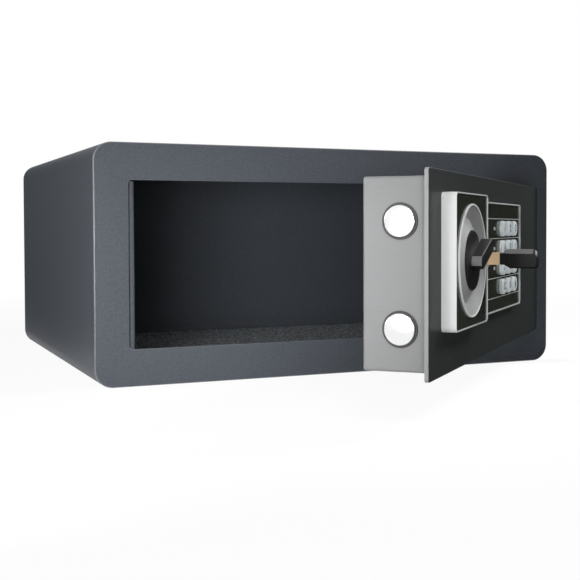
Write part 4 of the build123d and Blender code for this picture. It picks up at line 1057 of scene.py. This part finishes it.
black = paint(
    "satin_black", {"Specular IOR Level": 0.17},
    even_finish(
        black_colours, tone=(50.0, 3.0), rough=(0.34, 0.12), rough_grain=(500.0, 3.0),
        relief=(1600.0, 2.0, 0.00003, 0.35),
    ),
)
painted_highlight_grey = paint(
    "painted_highlight_grey", {"Specular IOR Level": 0.5},
    even_finish(painted_highlight_colours, tone=(90.0, 3.0), rough=(0.28, 0.1), rough_grain=(500.0, 3.0)),
)
disc = turned(
    "knob_disc",
    [(knob_stem, knob_stem_end), (knob_stem, knob_under), (knob_radius, knob_under),
     (knob_radius, knob_top - knob_break),
     (knob_radius - knob_break / 4, knob_top - knob_break / 4),
     (knob_radius - knob_break, knob_top)],
    knob_place, False, black, steps=knob_steps,
)
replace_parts(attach(disc, "knob"), "knob")

lever_loops = []
lever_stages = [(0.0, knob_top - lever_sink)]
for i in range(round_steps + 1):
    a = radians(90 * i / round_steps)
    lever_stages.append((lever_round * (1 - cos(a)), lever_top - lever_round * (1 - sin(a))))
for inset, level in lever_stages:
    outline = rounded_rectangle(
        lever_size[0] - 2 * inset, lever_size[1] - 2 * inset, lever_size[1] / 2 - inset,
        lever_steps,
    )
    loop = []
    for x, y in outline:
        x += lever_mid
        loop.append(on_door(
            knob_place[0] + x * cos(lever_angle) - y * sin(lever_angle),
            knob_place[1] + x * sin(lever_angle) + y * cos(lever_angle), level,
        ))
    lever_loops.append(loop)
lever = skin("knob_lever", lever_loops, black)
# Faces of the lever's round near end take the lighter grey: a painted highlight.
lever.data.materials.append(painted_highlight_grey)
lever_way = along * cos(lever_angle) + up * sin(lever_angle)
for face in lever.data.polygons:
    at_end = face.normal.dot(lever_way) < lever_highlight_facing
    on_side = abs(face.normal.dot(outward)) < lever_highlight_slope
    if at_end and on_side and face.normal.z > lever_highlight_under:
        face.material_index = 1
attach(lever, "knob")

# Keypad
# A shallow silver moulding with a glossy black face, ruled in silver between the key rows.
panel_middle = (0.1885, 0.1040)
panel_size = (0.140, 0.0828)
panel_radius = 0.003
panel_depth = 0.006
panel_rim = 0.0009
panel_face_top = 0.005
panel_web_top = 0.0042
panel_web_under = 0.0034
panel_round = 0.0004
panel_wall = 0.002
frame_width = 0.003
punch_depths = (0.002, 0.008)
key_size = (0.0155, 0.0120)
key_power = 2.35
key_gap = 0.0003
key_columns = (0.188, 0.209, 0.230)
key_rows = (0.1258, 0.1108, 0.0958, 0.0808)
lock_place = (0.140, 0.104)
lock_neck = 0.008
neck_gap = 0.0001
neck_steps = 64
rule_ends = (0.0733, 0.1333)
rule_count = 5
rule_width = 0.00055
rule_proud = 0.00004
rule_gap = 0.0002
light_s = 0.162
light_size = (0.0050, 0.0024, 0.0002)
light_count = 3
print_colours = ((0.50, 0.51, 0.50, 1), (0.62, 0.63, 0.62, 1))


def punch(places, outline_of, low, high, name):
    """A cutter with one prism for each place."""
    form = bmesh.new()
    for place in places:
        outline = outline_of(place)
        bottom = [form.verts.new(on_door(x, z, low)) for x, z in outline]
        top = [form.verts.new(on_door(x, z, high)) for x, z in outline]
        count = len(outline)
        for i in range(count):
            j = (i + 1) % count
            form.faces.new((bottom[i], bottom[j], top[j], top[i]))
        form.faces.new(list(reversed(bottom)))
        form.faces.new(top)
    return make_piece(name, form, silver)


def oval(half_length, half_height, steps=48):
    """A superellipse: an oval a little squarer than an ellipse."""
    points = []
    for i in range(steps):
        a = 2 * pi * i / steps
        c, s = cos(a), sin(a)
        points.append((
            half_length * (abs(c) ** (2 / key_power)) * (1 if c >= 0 else -1),
            half_height * (abs(s) ** (2 / key_power)) * (1 if s >= 0 else -1),
        ))
    return points


def key_hole(place):
    return [
        (place[0] + x, place[1] + z)
        for x, z in oval(key_size[0] / 2 + key_gap, key_size[1] / 2 + key_gap)
    ]


def neck_hole(place):
    return [
        (place[0] + (lock_neck + neck_gap) * cos(2 * pi * i / neck_steps),
         place[1] + (lock_neck + neck_gap) * sin(2 * pi * i / neck_steps))
        for i in range(neck_steps)
    ]


key_places = [(s, z) for z in key_rows for s in key_columns]
panel_loops = rim_loops(
    panel_size, panel_radius, panel_middle, panel_depth, panel_rim, panel_web_top, panel_round,
)
panel_outline = rounded_rectangle(
    panel_size[0] - 2 * panel_wall, panel_size[1] - 2 * panel_wall, wall_radius, *moulding_steps
)
frame_hole = rounded_rectangle(
    panel_size[0] - 2 * frame_width, panel_size[1] - 2 * frame_width, wall_radius,
    *moulding_steps,
)
panel_loops += [
    door_loop(frame_hole, *panel_middle, panel_web_top),
    door_loop(frame_hole, *panel_middle, panel_web_under),
    door_loop(panel_outline, *panel_middle, panel_web_under),
    door_loop(panel_outline, *panel_middle, 0),
]
panel_frame = skin("keypad_frame", panel_loops, silver, ring=True)
shade_rim(panel_frame)
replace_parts(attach(panel_frame, "door"), "keypad_housing")

gloss_outline = rounded_rectangle(
    panel_size[0] - 2 * (panel_rim + face_gap), panel_size[1] - 2 * (panel_rim + face_gap),
    panel_radius - panel_rim, moulding_steps[0],
)
gloss = skin(
    "keypad_gloss",
    [door_loop(gloss_outline, *panel_middle, panel_web_under),
     door_loop(gloss_outline, *panel_middle, panel_face_top)], gloss_black,
)
gloss = without(gloss, punch(key_places, key_hole, *punch_depths, "key_punch"))
gloss = without(gloss, punch([lock_place], neck_hole, *punch_depths, "neck_punch"))
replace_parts(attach(gloss, "door"), "keypad_face")


def bar_layout(material):
    """A node tree that sets bars of named size out in a row, each at its own height."""
    tree, entry = layout_tree(
        "bar_layout",
        {"Length": "Float", "Width": "Float", "Thickness": "Float", "Pitch": "Float",
         "Count": "Int"},
    )
    line = tree.nodes.new("GeometryNodeMeshLine")
    step = tree.nodes.new("ShaderNodeCombineXYZ")
    size = tree.nodes.new("ShaderNodeCombineXYZ")
    bar = tree.nodes.new("GeometryNodeMeshCube")
    place = tree.nodes.new("GeometryNodeInstanceOnPoints")
    tree.links.new(entry.outputs["Pitch"], step.inputs["Y"])
    tree.links.new(entry.outputs["Count"], line.inputs["Count"])
    tree.links.new(step.outputs["Vector"], line.inputs["Offset"])
    tree.links.new(entry.outputs["Length"], size.inputs["X"])
    tree.links.new(entry.outputs["Width"], size.inputs["Y"])
    tree.links.new(entry.outputs["Thickness"], size.inputs["Z"])
    tree.links.new(size.outputs["Vector"], bar.inputs["Size"])
    tree.links.new(line.outputs["Mesh"], place.inputs["Points"])
    tree.links.new(bar.outputs["Mesh"], place.inputs["Instance"])
    return close_layout(tree, place.outputs["Instances"], material)


silver_print = paint(
    "silver_print", {"Metallic": 0.1},
    even_finish(print_colours, tone=(700.0, 3.0), rough=(0.35, 0.1), rough_grain=(900.0, 2.0)),
)
bars = bar_layout(silver_print)
rule_length = panel_size[0] - 2 * (panel_rim + rule_gap)
rule_pitch = (rule_ends[1] - rule_ends[0]) / (rule_count - 1)
rules = grown(
    "keypad_rules", bars,
    {"Length": rule_length, "Width": rule_width, "Thickness": 2 * rule_proud,
     "Pitch": rule_pitch, "Count": rule_count},
    door_matrix(panel_middle[0], rule_ends[0], panel_face_top), silver_print, "door",
)
lights = grown(
    "indicator_lights", bars,
    {"Length": light_size[0], "Width": light_size[1], "Thickness": light_size[2],
     "Pitch": key_rows[1] - key_rows[2], "Count": light_count},
    door_matrix(light_s, key_rows[2], panel_face_top), silver_print, "door",
)
refinish(["keypad_mat"], bush_grey)

# Keys
# Twelve pale-blue oval caps with a soft crown, each with a small dark digit or mark.
key_crown = 0.0075
key_base = 0.0033
key_marks = ["1", "2", "3", "4", "5", "6", "7", "8", "9", "C", "0", "#"]
key_nodes = ["key_" + mark for mark in "123456789"] + ["key_clear", "key_0", "key_lock"]
mark_height = 0.0056
mark_proud = 0.00004
mark_weight = 0.00026
mark_font_share = 1.35
crown_rise = 0.00012
cap_sharp = 50
cap_colours = ((0.84, 0.915, 0.94, 1), (0.89, 0.95, 0.965, 1))
ink_colours = ((0.03, 0.035, 0.04, 1), (0.06, 0.065, 0.07, 1))

cap_blue = paint(
    "pale_blue_cap", {"Subsurface Weight": 0.12, "Subsurface Radius": (0.6, 0.8, 1.0),
                      "Subsurface Scale": 0.001, "Coat Weight": 0.3, "Coat Roughness": 0.12},
    even_finish(cap_colours, tone=(60.0, 2.0), rough=(0.24, 0.08), rough_grain=(500.0, 3.0)),
)
ink = paint(
    "key_ink", {},
    even_finish(ink_colours, tone=(900.0, 2.0), rough=(0.5, 0.1), rough_grain=(700.0, 2.0)),
)
key_stages = [
    (0.0008, key_base - 0.0007), (0.0008, key_base), (0.0, key_base), (0.0, key_crown - 0.0008),
    (-0.0001, key_crown - 0.0004), (-0.0004, key_crown - 0.00012), (-0.0009, key_crown),
    (-0.0028, key_crown + crown_rise * 2 / 3), (-0.0046, key_crown + crown_rise),
]
for node_name, place, mark in zip(key_nodes, key_places, key_marks):
    cap_loops = [
        door_loop(oval(key_size[0] / 2 + grow, key_size[1] / 2 + grow), *place, level)
        for grow, level in key_stages
    ]
    cap = skin(node_name + "_cap", cap_loops, cap_blue, sharp=cap_sharp)
    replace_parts(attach(cap, node_name), node_name)
    letter = bpy.data.curves.new(node_name + "_mark", "FONT")
    letter.body = mark
    letter.size = mark_height * mark_font_share
    letter.align_x = "CENTER"
    letter.align_y = "CENTER"
    letter.extrude = mark_proud
    letter.offset = mark_weight
    writer = bpy.data.objects.new(node_name + "_writer", letter)
    bpy.context.scene.collection.objects.link(writer)
    bpy.context.view_layer.update()
    shape = bpy.data.meshes.new_from_object(
        writer.evaluated_get(bpy.context.evaluated_depsgraph_get())
    )
    bpy.data.objects.remove(writer)
    shape.transform(door_matrix(*place, key_crown + crown_rise))
    shape.materials.clear()
    shape.materials.append(ink)
    legend = bpy.data.objects.new(node_name + "_mark", shape)
    bpy.context.scene.collection.objects.link(legend)
    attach(legend, node_name)

# Lock cylinder and plug
# A nickel-plated barrel whose neck shows in the panel, with a brass plug and its keyway.
nickel_colours = ((0.55, 0.55, 0.53, 1), (0.62, 0.62, 0.60, 1))
brass_colour = (0.74, 0.53, 0.31, 1)
brass_tint = (0.80, 0.60, 0.38, 1)


def brass_links(wire):
    streaks = wire.node(
        "ShaderNodeMapping", None, {"Vector": object_point(wire), "Scale": (400.0, 400.0, 3000.0)}
    )
    return {
        "Base Color": blended(wire, grain(wire, 120.0, 3.0), brass_colour, brass_tint),
        "Roughness": 0.3 + grain(wire, 1.0, 3.0, streaks) * 0.15,
    }


nickel = paint(
    "satin_nickel", {"Metallic": 1.0},
    even_finish(nickel_colours, tone=(90.0, 3.0), rough=(0.2, 0.12), rough_grain=(300.0, 3.0)),
)
brass = paint("milled_brass", {"Metallic": 0.25}, brass_links)
refinish(["lock_cylinder"], nickel)
refinish(["lock_plug", "emergency_key_blade"], brass)

# Emergency key head
# A black moulded grip on the brass blade, with a chamfered shoulder; its upper edge is in
# a lighter grey, which is a painted highlight.
head_neck_width = 0.006
head_low = 0.0970
head_high = 0.1110
head_chamfer = 0.0033
head_round = 0.0014
head_steps = 8
head_highlight_facing = 0.35
head_highlight_slope = 0.3
head_stages = [
    (0.0144, 0.0, 0.0995, 0.1085, 0.2), (0.0176, 0.0, 0.0995, 0.1085, 0.2),
    (0.0176, 0.0008, 0.0995, 0.1100, 0.6), (0.0180, 0.0020, 0.0992, 0.1106, 0.8),
    (0.0221, 0.0020, head_low, head_high, 1.0), (0.0387, 0.0020, head_low, head_high, 1.0),
    (0.0404, 0.0018, head_low + 0.0003, head_high - 0.0009, 1.0),
    (0.0414, 0.0012, head_low + 0.0008, head_high - 0.0021, 1.0),
    (0.0420, 0.0002, head_low + 0.0016, head_high - 0.0034, 0.8),
]


def head_outline(width, low, high, chamfer):
    """A section of the grip: round below, chamfered above."""
    middle = (low + high) / 2
    points = []
    for sx, start in ((-1, 180), (1, 270)):
        for i in range(head_steps + 1):
            a = radians(start + 90 * i / head_steps)
            points.append((
                sx * (width / 2 - head_round) + head_round * cos(a),
                low - middle + head_round + head_round * sin(a),
            ))
    points += [(width / 2, high - middle - chamfer), (width / 2 - chamfer, high - middle),
               (chamfer - width / 2, high - middle), (-width / 2, high - middle - chamfer)]
    return points


head_loops = [
    door_loop(
        head_outline(head_neck_width + extra, low, high, head_chamfer * share),
        lock_place[0], (low + high) / 2, level,
    ) for level, extra, low, high, share in head_stages
]
grip = skin("emergency_key_grip", head_loops, black)
# The grip's upward-facing upper edge takes the lighter grey: a painted highlight.
grip.data.materials.append(painted_highlight_grey)
for face in grip.data.polygons:
    on_side = abs(face.normal.dot(outward)) < head_highlight_slope
    if face.normal.z > head_highlight_facing and on_side:
        face.material_index = 1
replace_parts(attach(grip, "emergency_key"), "emergency_key_head")

# Pieces inside the door
# Circuit boards, cells, holder, solenoid and reset button, each in its usual finish.
board_green = (0.02, 0.12, 0.05, 1)
track_green = (0.05, 0.22, 0.10, 1)
sleeve_colours = ((0.04, 0.10, 0.22, 1), (0.05, 0.13, 0.28, 1))
button_colours = ((0.45, 0.02, 0.02, 1), (0.55, 0.03, 0.03, 1))


def board_links(wire):
    tracks = wire.node(
        "ShaderNodeTexBrick", {"offset": 0.5},
        {"Vector": object_point(wire), "Scale": 260.0, "Mortar Size": 0.03}, output=1,
    )
    return {
        "Base Color": blended(wire, tracks, board_green, track_green),
        "Roughness": 0.35 + grain(wire, 300.0) * 0.1,
    }


cell_sleeve = paint(
    "cell_sleeve", {"Metallic": 0.3},
    even_finish(sleeve_colours, tone=(30.0, 2.0), rough=(0.3, 0.1), rough_grain=(200.0, 2.0)),
)
red_plastic = paint(
    "red_button", {},
    even_finish(button_colours, tone=(300.0, 2.0), rough=(0.3, 0.1), rough_grain=(500.0, 2.0)),
)
refinish(["keypad_board", "control_board"], paint("green_laminate", {}, board_links))
refinish(["batteries"], cell_sleeve)
refinish(["reset_button"], red_plastic)
refinish(["battery_holder", "battery_cover", "reset_switch"], black)
refinish(["solenoid"], zinc)
